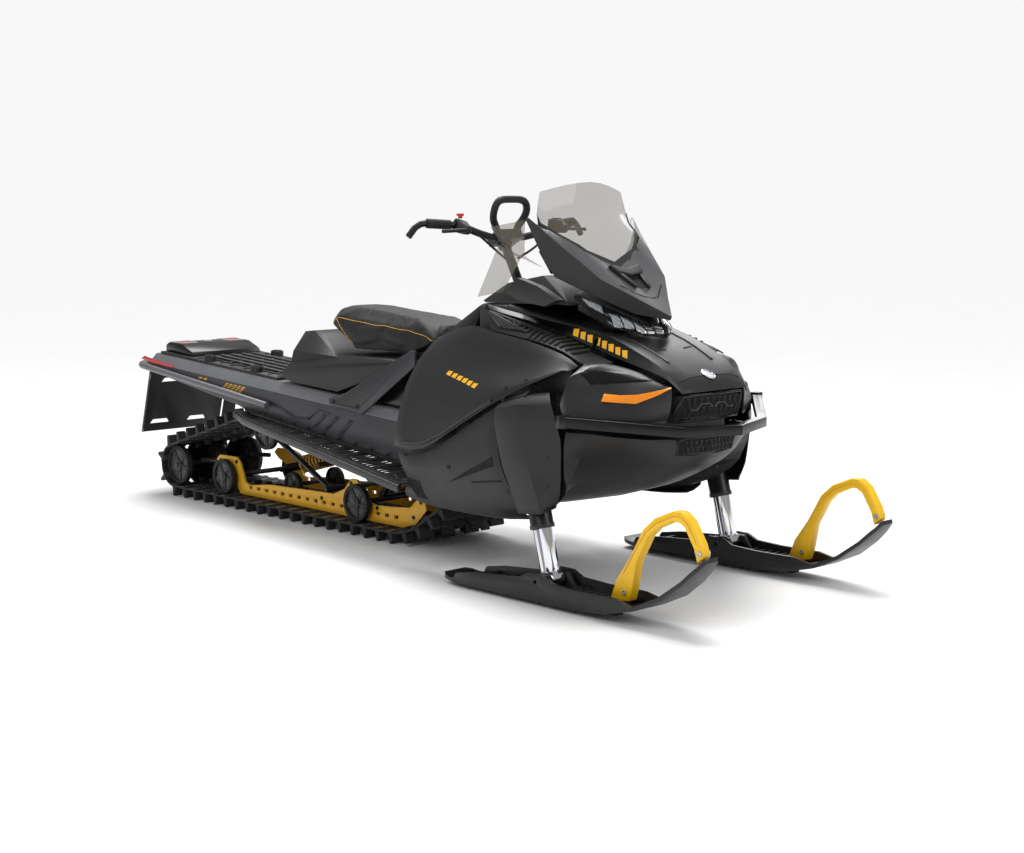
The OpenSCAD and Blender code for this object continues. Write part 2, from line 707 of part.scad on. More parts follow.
module handlebar() {
  // steering post, clamp block and bent bar
  color([0.06, 0.06, 0.06]) {
    rod(post_top - 430 * post_dir, post_top, 16);
    rod(post_top - 30 * post_dir, post_top + 14 * post_dir, 24);
    translate(post_top) rotate([0, -post_lean, 0]) translate([-22, -52, -16])
      cube([66, 104, 34]);
    pipe(concat(bar_half, [for (i = [len(bar_half) - 1:-1:0]) other(bar_half[i])]), bar_r);
  }
}

module grab_loop() {
  // tall loop over the clamp block, for a hand when side-hilling
  half = [[380, -44, 1092.6], [374.4, -44, 1103.2], [386, -66, 1130], [397, -72, 1158],
    [403, -46, 1197]];
  color([0.06, 0.06, 0.06])
    pipe(concat(half, [for (i = [len(half) - 1:-1:0]) other(half[i])]), 11);
}

module grips() {
  color([0.04, 0.04, 0.04]) both_sides() difference() {
    along_bar = grip_out - grip_in;
    rod(grip_in + 0.24 * along_bar, grip_in + 0.96 * along_bar, 16);
    rod(grip_in, grip_out, bar_r + 0.4, 5);
  }
}

module hand_controls() {
  // switch housings and levers
  color([0.06, 0.06, 0.06]) both_sides() difference() {
    union() {
      hull() {
        rod([397, -206, 1104], [388, -240, 1113], 22);
        translate([428, -222, 1098]) sphere(r = 16, $fn = 20);
      }
      rod([436, -222, 1098], [426, -326, 1094], 6);
    }
    rod(bar_half[5], grip_in, bar_r + 0.4, 3);
    rod(grip_in, grip_out, bar_r + 0.4, 3);
  }
}

module stop_button() {
  // red button on the right housing, on a short stem
  color("red") {
    translate([394, -222, 1133.5]) cylinder(h = 9, r = 7);
    translate([394, -222, 1142]) cylinder(h = 8, r = 12);
  }
}

// ---- skis ----------------------------------------------------------------

module strut(side) {
  // chrome tube with its foot round the ski's pivot bolt
  color("silver") difference() {
    union() {
      rod(on_strut(24, side), on_strut(420, side), strut_r);
      disc(pivot[0], side * sy, pivot[2], 26, 60);
      rod(on_strut(0, side), on_strut(40, side), 24);
    }
    disc(pivot[0], side * sy, pivot[2], 6.2, 80);
  }
}

sole_low = [[580, 22], [620, 14], [700, 12], [1150, 12], [1290, 22], [1400, 50],
  [1490, 92], [1560, 144], [1610, 192], [1629, 214]];
function lift(p, h) = [p[0] - h * 0.35 * max(0, (p[0] - 1290) / 339), p[1] + h];

module ski(side) {
  sole = concat(sole_low, [for (i = [len(sole_low) - 1:-1:0]) lift(sole_low[i], 12)]);
  w = ski_w / 2;
  tw = ski_tip_w / 2;
  color([0.09, 0.09, 0.09]) translate([0, side * sy, 0]) difference() {
    union() {
      intersection() {
        plate(0, ski_w, sole);
        linear_extrude(300) polygon([[575, -w + 30], [600, -w + 10], [660, -w], [1320, -w],
          [1480, -w + 6], [1590, -tw + 6], [1632, -tw + 26], [1632, tw - 26],
          [1590, tw - 6], [1480, w - 6], [1320, w], [660, w], [600, w - 10], [575, w - 30]]);
      }
      // side walls
      for (s = [-1, 1]) plate(s * (w - 5), 10, [[640, 16], [660, 46], [744, 60],
        [940, 76], [980, 96], [1040, 96], [1080, 78], [1180, 74], [1330, 76], [1400, 62],
        [1290, 26], [1150, 18], [700, 16]]);
      // keel with its wear bar
      plate(0, 26, [[640, 13], [1150, 13], [1290, 23], [1290, 10], [1150, 0], [700, 0],
        [640, 4]]);
      // saddle walls that carry the pivot bolt
      for (s = [-1, 1]) plate(s * 41, 12, [[930, 20], [980, 92], [1044, 92], [1100, 20]]);
      for (x = [720, 800, 880, 1160, 1220, 1280])
        translate([x, -w + 4, 18]) cube([7, 2 * w - 8, 26]);
    }
    disc(pivot[0], 0, pivot[2], 6.2, ski_w + 10);
  }
}

module ski_loop(side) {
  // handle loop from the ski's middle up and over to its tip
  color("gold") translate([0, side * sy, 0]) plate(0, 34, [
    [1262, 48], [1290, 120], [1340, 190], [1388, 275], [1430, 312], [1500, 342],
    [1530, 344], [1562, 322], [1600, 262], [1612, 226], [1588, 206], [1576, 246],
    [1542, 300], [1522, 312], [1500, 312], [1440, 284], [1410, 256], [1366, 176],
    [1352, 100], [1340, 60]]);
}

// ---- the assembly --------------------------------------------------------

module mirrored() { mirror([0, 1, 0]) children(); }

tunnel_top();
tunnel_side();  // tunnel_side_right
mirrored() tunnel_side();  // tunnel_side_left
running_board();  // running_board_right
mirrored() running_board();  // running_board_left
rear_bumper();
cargo_deck();
tail_light();
tail_reflectors();
snow_flap();
seat_base();
seat_cushion();
seat_braces();
fuel_tank();
console();
gauge();
side_panel();  // side_panel_right
mirrored() side_panel();  // side_panel_left
lower_panel();  // lower_panel_right
mirrored() lower_panel();  // lower_panel_left
intake_vents();
strut_shroud();  // strut_shroud_right
mirrored() strut_shroud();  // strut_shroud_left
strut_housings();
belly_pan();
nose_fenders();
hood();
nose_grille();
headlight();
lamp_bracket();
side_reflectors();
visor();
windshield();
wind_deflectors();
front_bumper();
engine_block();
track();
slide_rails();
idler_wheels();
drive_axle();
suspension_arms();
suspension_shocks();
handlebar();
grab_loop();
grips();
hand_controls();
stop_button();
strut(-1);  // strut_right
strut(1);  // strut_left
ski(-1);  // ski_right
ski(1);  // ski_left
ski_loop(-1);  // ski_loop_right
ski_loop(1);  // ski_loop_left
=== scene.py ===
"""Utility snowmobile: skins, trim, track, wheels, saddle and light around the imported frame."""
import json
import math

import bmesh
import bpy
from mathutils import Matrix, Vector

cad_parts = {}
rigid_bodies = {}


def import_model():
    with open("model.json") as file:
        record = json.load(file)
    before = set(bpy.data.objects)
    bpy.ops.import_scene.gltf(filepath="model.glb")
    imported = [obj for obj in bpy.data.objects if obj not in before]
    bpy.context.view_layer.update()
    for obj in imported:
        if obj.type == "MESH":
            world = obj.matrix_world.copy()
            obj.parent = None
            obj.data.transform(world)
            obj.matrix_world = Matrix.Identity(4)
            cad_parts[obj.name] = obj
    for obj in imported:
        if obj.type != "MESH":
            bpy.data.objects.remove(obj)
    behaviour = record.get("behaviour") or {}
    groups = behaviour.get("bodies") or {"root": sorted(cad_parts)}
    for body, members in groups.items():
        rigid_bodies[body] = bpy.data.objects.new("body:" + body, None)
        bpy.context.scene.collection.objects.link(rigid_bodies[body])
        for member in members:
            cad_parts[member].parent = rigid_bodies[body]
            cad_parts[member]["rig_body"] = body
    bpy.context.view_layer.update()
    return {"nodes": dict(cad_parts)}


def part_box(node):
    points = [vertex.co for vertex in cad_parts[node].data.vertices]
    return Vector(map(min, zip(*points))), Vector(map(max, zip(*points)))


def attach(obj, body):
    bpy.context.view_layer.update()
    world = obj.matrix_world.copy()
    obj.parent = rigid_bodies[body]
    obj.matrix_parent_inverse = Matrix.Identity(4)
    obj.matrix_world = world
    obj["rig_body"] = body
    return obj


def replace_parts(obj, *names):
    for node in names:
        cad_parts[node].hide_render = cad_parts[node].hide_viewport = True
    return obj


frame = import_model()
MM = 0.001
SIDES = (("right", -1), ("left", 1))


# ---- camera, light and floor ----------------------------------------------

def make_camera():
    """A three-quarter view from the front right, a little above the cowl."""
    bpy.ops.object.camera_add(location=(4.587, -3.983, 1.186),
                              rotation=(math.radians(90 - 7.403), 0, math.radians(46.492)))
    cam = bpy.context.object
    cam.data.lens = 60.67
    cam.data.sensor_width = 36
    cam.data.shift_x = 2.7 / 1024
    cam.data.clip_end = 1000
    bpy.context.scene.camera = cam


make_camera()


# ---- small helpers ----------------------------------------------------------

def rgb(code):
    """An sRGB hex value such as "8a5f2b", turned to linear."""
    parts = [int(code[i:i + 2], 16) / 255 for i in (0, 2, 4)]
    return (*[c / 12.92 if c <= 0.04045 else ((c + 0.055) / 1.055) ** 2.4 for c in parts], 1)


def add(tree, kind, inputs=None, **settings):
    """Adds a node, sets its properties, and sets or links its inputs."""
    made = tree.nodes.new(kind)
    for key, value in settings.items():
        setattr(made, key, value)
    for key, value in (inputs or {}).items():
        if isinstance(value, bpy.types.NodeSocket):
            tree.links.new(value, made.inputs[key])
        else:
            made.inputs[key].default_value = value
    return made


def only(obj):
    """Selects one object and nothing else."""
    if bpy.context.object and bpy.context.object.mode != "OBJECT":
        bpy.ops.object.mode_set(mode="OBJECT")
    bpy.ops.object.select_all(action="DESELECT")
    obj.select_set(True)
    bpy.context.view_layer.objects.active = obj
    return obj


def edit(obj):
    only(obj)
    bpy.ops.object.mode_set(mode="EDIT")
    bpy.ops.mesh.select_all(action="SELECT")


def done():
    bpy.ops.object.mode_set(mode="OBJECT")


def modify(obj, kind, **settings):
    """Adds a modifier and applies it."""
    m = obj.modifiers.new(kind.lower(), kind)
    for key, value in settings.items():
        setattr(m, key, value)
    only(obj)
    bpy.ops.object.modifier_apply(modifier=m.name)
    return obj


def settle(obj):
    """Moves the object's place into its mesh."""
    only(obj)
    bpy.ops.object.transform_apply(location=True, rotation=True, scale=True)
    return obj


def soften(obj, degrees=35):
    only(obj)
    bpy.ops.object.shade_smooth_by_angle(angle=math.radians(degrees))
    return obj


def round_edges(obj, mm, segments=2, degrees=30):
    return modify(obj, "BEVEL", width=mm * MM, segments=segments, limit_method="ANGLE",
                  angle_limit=math.radians(degrees), use_clamp_overlap=True)


def dress(obj, name, body, slot, *materials):
    """Names a finished piece, gives it its materials and lets it ride on a body."""
    obj.name = obj.data.name = name
    obj.data.materials.clear()
    for m in materials:
        obj.data.materials.append(m)
    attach(obj, body)
    return obj


def join(objs):
    bpy.ops.object.select_all(action="DESELECT")
    for o in objs:
        o.select_set(True)
    bpy.context.view_layer.objects.active = objs[0]
    bpy.ops.object.join()
    return objs[0]


def copy_of(obj, matrix=None):
    """A copy with its own mesh, moved by a matrix."""
    new = obj.copy()
    new.data = obj.data.copy()
    bpy.context.scene.collection.objects.link(new)
    if matrix is not None:
        new.data.transform(matrix)
        if matrix.determinant() < 0:
            new.data.flip_normals()
    return new


def bare(obj):
    """A copy without the custom properties."""
    new = copy_of(obj)
    for key in list(new.keys()):
        del new[key]
    return new


def merge_faces(obj, degrees):
    """Welds the points and merges the faces that lie in one plane."""
    edit(obj)
    bpy.ops.mesh.remove_doubles(threshold=0.00002)
    bpy.ops.mesh.dissolve_limited(angle_limit=math.radians(degrees))
    done()


def trim(objs, name, slot, material, body="chassis"):
    """Joins pieces of trim into one and dresses it."""
    return dress(join(objs), name, body, slot, material)


def remove(obj):
    bpy.data.objects.remove(obj)


def between(path, parts):
    """Points along a path of pairs, so many to a stretch and without its last end."""
    return [(a + (c - a) * k / parts, b + (d - b) * k / parts)
            for (a, b), (c, d) in zip(path, path[1:]) for k in range(parts)]


def box(size, at=(0, 0, 0), turn=(0, 0, 0), edge=1.0, segments=2):
    """A block in millimetres with rounded edges."""
    bpy.ops.mesh.primitive_cube_add(size=1, location=[c * MM for c in at], rotation=turn)
    obj = bpy.context.object
    obj.scale = [c * MM for c in size]
    settle(obj)
    if edge:
        round_edges(obj, edge, segments)
    return obj


def drum(radius, width, at=(0, 0, 0), axis="y", sides=32, edge=1.0):
    """A short cylinder in millimetres with rounded rims."""
    turn = {"x": (0, math.pi / 2, 0), "y": (math.pi / 2, 0, 0), "z": (0, 0, 0)}[axis]
    bpy.ops.mesh.primitive_cylinder_add(vertices=sides, radius=radius * MM, depth=width * MM,
                                        location=[c * MM for c in at], rotation=turn)
    obj = settle(bpy.context.object)
    if edge:
        round_edges(obj, edge, 2, 50)
    return obj


def tube(points, radius, sides=10, closed=False, resolution=6):
    """A bent tube in millimetres through the points, as a mesh."""
    curve = bpy.data.curves.new("tube", "CURVE")
    curve.dimensions = "3D"
    curve.bevel_depth = radius * MM
    curve.bevel_resolution = max(1, sides // 4)
    curve.resolution_u = resolution
    curve.use_fill_caps = True
    line = curve.splines.new("NURBS" if resolution > 1 else "POLY")
    line.points.add(len(points) - 1)
    for p, q in zip(line.points, points):
        p.co = (*[c * MM for c in q], 1)
    line.use_cyclic_u = closed
    if resolution > 1:
        line.order_u = 3
        line.use_endpoint_u = True
    obj = bpy.data.objects.new("tube", curve)
    bpy.context.scene.collection.objects.link(obj)
    only(obj)
    bpy.ops.object.convert(target="MESH")
    obj = bpy.context.object
    return soften(obj, 60)


def ringed(points, radius, sides):
    """A closed frame of straight tube, with its ends overlapping along the first side."""
    return tube(points + points[:2], radius, sides, resolution=1)


def choose(obj, test):
    """Selects the faces that pass a test, in edit mode."""
    edit(obj)
    bpy.ops.mesh.select_all(action="DESELECT")
    bm = bmesh.from_edit_mesh(obj.data)
    for f in bm.faces:
        if test(f):
            f.select_set(True)
    bmesh.update_edit_mesh(obj.data)


def narrow(obj, axis, sign, shrink, shift=(0, 0, 0)):
    """Scales and moves the end face of a block that looks along one axis."""
    choose(obj, lambda f: f.normal[axis] * sign > 0.7)
    bpy.ops.transform.resize(value=shrink)
    bpy.ops.transform.translate(value=[c * MM for c in shift])
    done()
    return obj


def ribbon(one, two, thick):
    """A strip of sheet between two lines of points in millimetres."""
    bpy.ops.mesh.primitive_grid_add(x_subdivisions=len(one) - 1, y_subdivisions=1, size=2)
    obj = bpy.context.object
    for v in obj.data.vertices:
        i = round((v.co.x + 1) / 2 * (len(one) - 1))
        v.co = Vector(one[i] if v.co.y < 0 else two[i]) * MM
    edit(obj)
    bpy.ops.mesh.normals_make_consistent(inside=False)
    done()
    modify(obj, "SOLIDIFY", thickness=thick * MM, offset=0)
    return soften(obj, 50)


def aim(normal, at=(0, 0, 0)):
    """A matrix that stands a piece made along +Z on a surface at a point, in metres."""
    z = Vector(normal).normalized()
    return Matrix.Translation(Vector(at)) @ z.to_track_quat("Z", "Y").to_matrix().to_4x4()


# ---- finishes ---------------------------------------------------------------

def blank(name):
    """An empty material, its node tree and the place in the object it is read at."""
    mat = bpy.data.materials.new(name)
    mat.use_nodes = True
    mat.node_tree.nodes.clear()
    here = add(mat.node_tree, "ShaderNodeTexCoord").outputs["Object"]
    return mat, mat.node_tree, here


def finish(name, colour, rough=0.5, metallic=0.0, ior=1.5, grain=0.0, depth=0.0, mottle=0.1,
           patch=60, spread=0.08, coat=0.0, detail=3.0, worn=None, alpha=1.0, sheen=0.5):
    """A finish from its colour, a grain of so many mm and so deep, and cloudy patches.

    mottle is how much the colour drifts over patches of so many mm, spread how much the
    roughness does, worn a paler colour along the edges, and sheen the specular level."""
    mat, tree, here = blank(name)
    clouds = add(tree, "ShaderNodeTexNoise",
                 {"Vector": here, "Scale": 1000 / patch, "Detail": 4.0, "Roughness": 0.6})
    base = rgb(colour)
    dark = (*[c * (1 - mottle) for c in base[:3]], 1)
    pale = (*[min(1, c * (1 + mottle)) for c in base[:3]], 1)
    tint = add(tree, "ShaderNodeMix", {"Factor": clouds.outputs["Fac"], 6: dark, 7: pale},
               data_type="RGBA")
    colour_out = tint.outputs[2]
    if worn:
        geo = add(tree, "ShaderNodeNewGeometry")
        edge = add(tree, "ShaderNodeMapRange", {"Value": geo.outputs["Pointiness"],
                                                "From Min": 0.53, "From Max": 0.62})
        rub = add(tree, "ShaderNodeMath", {0: edge.outputs[0], 1: clouds.outputs["Fac"]},
                  operation="MULTIPLY")
        edged = add(tree, "ShaderNodeMix",
                    {"Factor": rub.outputs[0], 6: colour_out, 7: rgb(worn)}, data_type="RGBA")
        colour_out = edged.outputs[2]
    shine = add(tree, "ShaderNodeMapRange",
                {"Value": clouds.outputs["Fac"], "From Min": 0.3, "From Max": 0.7,
                 "To Min": max(0.02, rough - spread), "To Max": min(1, rough + spread)})
    shader = add(tree, "ShaderNodeBsdfPrincipled",
                 {"Base Color": colour_out, "Roughness": shine.outputs[0],
                  "Metallic": metallic, "IOR": ior, "Alpha": alpha,
                  "Specular IOR Level": sheen})
    if coat:
        shader.inputs["Coat Weight"].default_value = coat
        shader.inputs["Coat Roughness"].default_value = 0.06
    if depth:
        fine_grain = add(tree, "ShaderNodeTexNoise",
                         {"Vector": here, "Scale": 1000 / grain, "Detail": detail})
        bump = add(tree, "ShaderNodeBump", {"Height": fine_grain.outputs["Fac"],
                                            "Distance": depth * MM, "Strength": 1.0})
        tree.links.new(bump.outputs["Normal"], shader.inputs["Normal"])
    add(tree, "ShaderNodeOutputMaterial", {"Surface": shader.outputs["BSDF"]})
    return mat


# Moulded polypropylene, charcoal and matt: a fine leather-like grain, broad soft highlights
PANEL = finish("moulded_polypropylene", "161617", 0.45, grain=3.0, depth=0.05, mottle=0.07,
               patch=240, spread=0.05, worn="2e2e2f", sheen=0.38)
# The same plastic moulded against a smoother tool, a shade lighter and with more sheen
COWL = finish("smooth_moulded_abs", "1b1b1c", 0.36, grain=2.4, depth=0.02, mottle=0.06,
              patch=260, spread=0.04, worn="39393b")
# The visor's face: the same dark plastic given a clear grey, painted light for the light its
# upward face catches
VISOR_PAINTED_LIGHT = finish("visor_abs_with_painted_light", "454648", 0.34, grain=2.4, depth=0.02, mottle=0.05,
               patch=260, spread=0.04, worn="626366")
# Wheels in grey nylon
WHEEL = finish("grey_moulded_nylon", "262628", 0.42, grain=2.6, depth=0.06, patch=70,
               worn="444446")
# Black ABS with a high gloss, as on the blades beside the hood
GLOSS = finish("gloss_black_abs", "070707", 0.24, mottle=0.05, patch=200, spread=0.04,
               sheen=0.3)
# Black glass-filled nylon, matt, with a coarser spark-eroded grain
NYLON = finish("glass_filled_nylon", "131313", 0.55, grain=2.2, depth=0.09, mottle=0.12,
               patch=90, worn="3a3a3b")
# Bumper and deck plastic, half-gloss black
BUMPER = finish("half_gloss_polyethylene", "070707", 0.24, grain=3.0, depth=0.02, patch=150,
                worn="2c2c2e", sheen=0.3)
# Tunnel aluminium in a dark grey powder coat: orange-peel a few mm across
COATED = finish("powder_coated_aluminium", "6a6b6e", 0.4, metallic=0.3, grain=3.5,
                depth=0.06, mottle=0.05, patch=300, worn="8a8b8f")
# The same sheet in the darker coat of the side plates
SIDE_COAT = finish("dark_powder_coat", "202124", 0.4, metallic=0.2, grain=3.5, depth=0.05,
                   mottle=0.06, patch=300, worn="77787c")
# Black painted steel tube, slightly scuffed
STEEL = finish("black_painted_steel", "101011", 0.36, metallic=0.25, grain=4.0, depth=0.04,
               mottle=0.15, worn="6d6d70")
# Zinc-plated fasteners, bright with a soft cloudiness
ZINC = finish("zinc_plated_steel", "b9bbbf", 0.28, metallic=1.0, mottle=0.12, patch=12)
# Hard chrome on the strut tubes, nearly a mirror
CHROME = finish("hard_chrome", "d5d7db", 0.07, metallic=1.0, mottle=0.03, patch=80,
                spread=0.03)
# Rails in golden-yellow paint over aluminium, rubbed at the edges
RAIL = finish("yellow_painted_aluminium", "dfa81e", 0.38, metallic=0.1, grain=3.0,
              depth=0.05, patch=70, worn="d9b463")
# Ski loops in yellow moulded plastic
LOOP = finish("yellow_moulded_nylon", "f2bd08", 0.38, grain=2.5, depth=0.05, mottle=0.06,
              patch=80, spread=0.06)
# Yellow vinyl film for stripes
FILM = finish("yellow_vinyl_film", "f0b21a", 0.35, mottle=0.04)
# Track rubber: dull black, dusty between the lugs, with a coarse mould grain
RUBBER = finish("vulcanised_rubber", "121212", 0.7, grain=4.0, depth=0.25, mottle=0.3,
                patch=45, spread=0.12, worn="343434")
# Grip rubber, softer and blacker
GRIP = finish("soft_grip_rubber", "0f0f0f", 0.62, grain=2.0, depth=0.15, mottle=0.15,
              patch=20)
# Reinforced rubber sheet of the flap
FLAP = finish("reinforced_rubber_sheet", "161617", 0.55, grain=3.0, depth=0.12, mottle=0.15,
              patch=120)
# Ski plastic, UHMW polyethylene: waxy, faintly mottled
SKI = finish("ultra_high_weight_polyethylene", "121213", 0.4, grain=3.0, depth=0.06,
             mottle=0.12, patch=100, worn="3e3e40")
# Cast aluminium of the engine, grey and grainy
CAST = finish("cast_aluminium", "6c6d6f", 0.5, metallic=0.8, grain=2.5, depth=0.2,
              mottle=0.15, patch=40)
# Amber and red reflector plastics, glossy
AMBER = finish("amber_acrylic", "ef8a12", 0.16, patch=20, coat=0.5)
RED = finish("red_acrylic", "c0161a", 0.18, patch=20, coat=0.5)
BUTTON = finish("red_enamel_plastic", "d3161c", 0.3, mottle=0.05, patch=10)
WHITE_LINE = finish("white_acrylic", "dfe1e3", 0.2, mottle=0.05, patch=20)
# Near-black matt sheet: painted shade in the grille openings, vents, slots and recesses, and the
# colour of thin dark joint lines
JOINT_AND_SHADE_BLACK = finish("black_joints_and_painted_shade", "060606", 0.9, mottle=0.2, patch=20)
# Vacuum-metallised reflectors inside the lamp
MIRROR = finish("metallised_plastic", "eef0f3", 0.24, metallic=1.0, mottle=0.08, patch=15)


def clear(name, colour, alpha, rough, patch):
    """A thin clear plastic whose tint shows as a see-through colour."""
    return finish(name, colour, rough, ior=1.49, mottle=0.03, patch=patch, spread=0.015,
                  alpha=alpha)


# Tinted polycarbonate: brownish-grey smoke, seen through twice on a bent sheet
SMOKE = clear("tinted_polycarbonate", "6e665b", 0.34, 0.05, 300)
# Untinted lamp lens of clear polycarbonate
LENS = clear("clear_polycarbonate", "2a2e33", 0.15, 0.04, 80)


def seat_material():
    """Matt black seat vinyl: a leather-like cell grain about 2 mm across, drawn coarse."""
    mat, tree, here = blank("embossed_seat_vinyl")
    cells = add(tree, "ShaderNodeTexVoronoi", {"Vector": here, "Scale": 1000 / 2.6},
                feature="DISTANCE_TO_EDGE")
    creases = add(tree, "ShaderNodeTexNoise",
                  {"Vector": here, "Scale": 1000 / 70, "Detail": 5.0})
    tint = add(tree, "ShaderNodeMix",
               {"Factor": creases.outputs["Fac"], 6: rgb("0f0f10"), 7: rgb("19191b")},
               data_type="RGBA")
    height = add(tree, "ShaderNodeMath",
                 {0: cells.outputs["Distance"], 1: creases.outputs["Fac"]}, operation="ADD")
    bump = add(tree, "ShaderNodeBump", {"Height": height.outputs[0], "Distance": 0.0003,
                                        "Strength": 0.7})
    shader = add(tree, "ShaderNodeBsdfPrincipled",
                 {"Base Color": tint.outputs[2], "Roughness": 0.58,
                  "Normal": bump.outputs["Normal"], "Specular IOR Level": 0.35,
                  "Sheen Weight": 0.05, "Sheen Roughness": 0.5})
    add(tree, "ShaderNodeOutputMaterial", {"Surface": shader.outputs["BSDF"]})
    return mat


VINYL = seat_material()


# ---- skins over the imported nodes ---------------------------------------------

def refined(node, slot, material, edge=1.2, smooth=38, name=None, others=(), pick=None):
    """The node's own shape with merged faces, rounded edges and smooth shading.

    pick(centre, normal) gives the index of the material on a face."""
    src = frame["nodes"][node]
    obj = bare(src)
    obj.parent = None
    merge_faces(obj, 0.6)
    if edge:
        round_edges(obj, edge)
    soften(obj, smooth)
    dress(obj, name or node + "_skin", src["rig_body"], slot, material, *others)
    if pick:
        for f in obj.data.polygons:
            f.material_index = pick(f.center, f.normal)
    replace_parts(obj, node)
    return obj


# a star stands for right and then left
skins = {}
for stem, slot, material, edge, smooth in (
        ("tunnel_top", "tunnel_paint", COATED, 0.8, 30),
        ("tunnel_side_*", "tunnel_paint", SIDE_COAT, 0.6, 30),
        ("running_board_*", "black_metal", STEEL, 0.8, 30),
        ("rear_bumper", "black_metal", COATED, 1.0, 40),
        ("cargo_deck", "black_plastic", NYLON, 1.6, 35),
        ("tail_light", "lamp_housing", GLOSS, 4.0, 40),
        ("tail_reflectors", "red_lens", RED, 1.0, 30),
        ("snow_flap", "flap_rubber", FLAP, 1.2, 30),
        ("seat_base", "black_plastic", PANEL, 5.0, 40),
        ("seat_braces", "black_metal", SIDE_COAT, 1.0, 30),
        ("fuel_tank", "black_plastic", GLOSS, 12.0, 50),
        ("console", "black_plastic", NYLON, 3.0, 35),
        ("gauge", "gauge", GLOSS, 3.0, 35),
        ("side_panel_*", "panel_plastic", PANEL, 1.0, 26),
        ("lower_panel_*", "panel_plastic", PANEL, 1.0, 30),
        ("intake_vents", "black_plastic", NYLON, 0.6, 30),
        ("strut_shroud_*", "panel_plastic", PANEL, 1.4, 30),
        ("strut_housings", "black_metal", STEEL, 1.0, 30),
        ("belly_pan", "panel_plastic", PANEL, 1.0, 40),
        ("nose_fenders", "panel_plastic", COWL, 1.0, 24),
        # the grille's own shape is coloured near-black: painted shade for the opening behind the
        # mesh
        ("nose_grille", "black_plastic", JOINT_AND_SHADE_BLACK, 1.0, 30),
        ("lamp_bracket", "black_plastic", NYLON, 1.0, 30),
        ("side_reflectors", "amber_lens", AMBER, 0.8, 30),
        ("wind_deflectors", "smoke_clear", SMOKE, 0.8, 30),
        ("windshield", "smoke_clear", SMOKE, 0.6, 9),
        ("headlight", "lamp_lens", GLOSS, 0.6, 50),
        ("front_bumper", "bumper_plastic", BUMPER, 3.0, 40),
        ("engine_block", "engine", CAST, 6.0, 40),
        ("slide_rails", "yellow_rail", RAIL, 0.9, 30),
        ("drive_axle", "wheel_plastic", NYLON, 1.0, 35),
        ("suspension_arms", "black_metal", STEEL, 0.6, 40),
        ("suspension_shocks", "shock", STEEL, 1.0, 35),
        ("handlebar", "black_metal", STEEL, 0.8, 50),
        ("hand_controls", "black_plastic", NYLON, 1.0, 40),
        ("stop_button", "red_button", BUTTON, 0.3, 40),
        ("strut_*", "chrome", CHROME, 0.8, 40),
        ("ski_*", "ski_plastic", SKI, 1.6, 40),
        ("ski_loop_*", "yellow_loop", LOOP, 5.0, 50)):
    for side, _ in SIDES if "*" in stem else SIDES[:1]:
        node = stem.replace("*", side)
        skins[node] = refined(node, slot, material, edge, smooth)
# the side bands of the hood and its long rear blades are gloss black
skins["hood"] = refined("hood", "hood_plastic", COWL, 0.8, 22, others=(GLOSS,),
                        pick=lambda c, n: int(abs(c.y) > 0.157 or c.x < 0.955))
# faces of the visor that look up get the grey of painted light, its sides stay black
skins["visor"] = refined("visor", "hood_plastic", VISOR_PAINTED_LIGHT, 0.8, 20, others=(NYLON,),
                         pick=lambda c, n: int(n.z < 0.2))


# ---- trim laid on the skins ---------------------------------------------------

def laid(corners, target, lift=0.8, thick=1.2, cells=(6, 3), along="y", edge=0.0):
    """A thin patch between four corners, dropped on a skin and given its thickness.

    Corners are (x, z) seen from the right side, (x, y) from above or (y, z) from ahead."""
    bpy.ops.mesh.primitive_grid_add(x_subdivisions=cells[0], y_subdivisions=cells[1], size=2)
    obj = bpy.context.object
    a, b, c, d = [Vector(p) * MM for p in corners]
    ray = {"y": Vector((0, 1, 0)), "-y": Vector((0, -1, 0)), "z": Vector((0, 0, -1)),
           "x": Vector((-1, 0, 0))}[along]
    for v in obj.data.vertices:
        u, w = (v.co.x + 1) / 2, (v.co.y + 1) / 2
        p = (a * (1 - u) + b * u) * (1 - w) + (d * (1 - u) + c * u) * w
        start = {"y": (p[0], -3, p[1]), "-y": (p[0], 3, p[1]), "z": (p[0], p[1], 3),
                 "x": (3, p[0], p[1])}[along]
        hit, where, normal, _ = target.ray_cast(Vector(start), ray)
        if not hit:
            hit, where, normal, _ = target.closest_point_on_mesh(
                Vector([s if abs(s) < 2.9 else 0 for s in start]))
        if normal.dot(ray) > 0:
            normal = -normal
        v.co = where + normal * lift * MM
    edit(obj)
    bpy.ops.mesh.normals_make_consistent(inside=False)
    done()
    face = obj.data.polygons[len(obj.data.polygons) // 2]
    if face.normal.dot(ray) > 0:
        obj.data.flip_normals()
    modify(obj, "SOLIDIFY", thickness=thick * MM, offset=-1)
    if edge:
        round_edges(obj, edge, 2)
    return soften(obj, 40)


def surface(target, at, ray):
    """The first point of a skin along a ray, with its normal, in mm."""
    hit, where, normal, _ = target.ray_cast(Vector([c * MM for c in at]), Vector(ray))
    if not hit:
        hit, where, normal, _ = target.closest_point_on_mesh(Vector([c * MM for c in at]))
    return [c / MM for c in where], normal


def trace(target, starts, ray, rise=0.0, shift=(0, 0, 0)):
    """The points of a skin behind some starts, raised along its normals and shifted, in mm."""
    return [(Vector(p) + n * rise + Vector(shift))[:]
            for p, n in (surface(target, at, ray) for at in starts)]


def from_ahead(spots):
    """Starts and ray for spots (y, z) looked at from ahead."""
    return [(3000, y, z) for y, z in spots], (-1, 0, 0)


def both(make, name, slot, material):
    """Makes the same trim on the right and on the left, each from its own side's skin."""
    for side, sign in SIDES:
        trim(make(side, "y" if sign < 0 else "-y"), f"{name}_{side}", slot, material)


def slanted(x0, z0, count, step, wide, tall, lean, drop=0.0):
    """Corner lists of a row of slanted bars."""
    out = []
    for i in range(count):
        x, z = x0 + i * step, z0 + i * drop
        out.append([(x, z), (x + wide, z + drop * wide / max(step, 1)),
                    (x + wide + lean, z + tall), (x + lean, z + tall)])
    return out


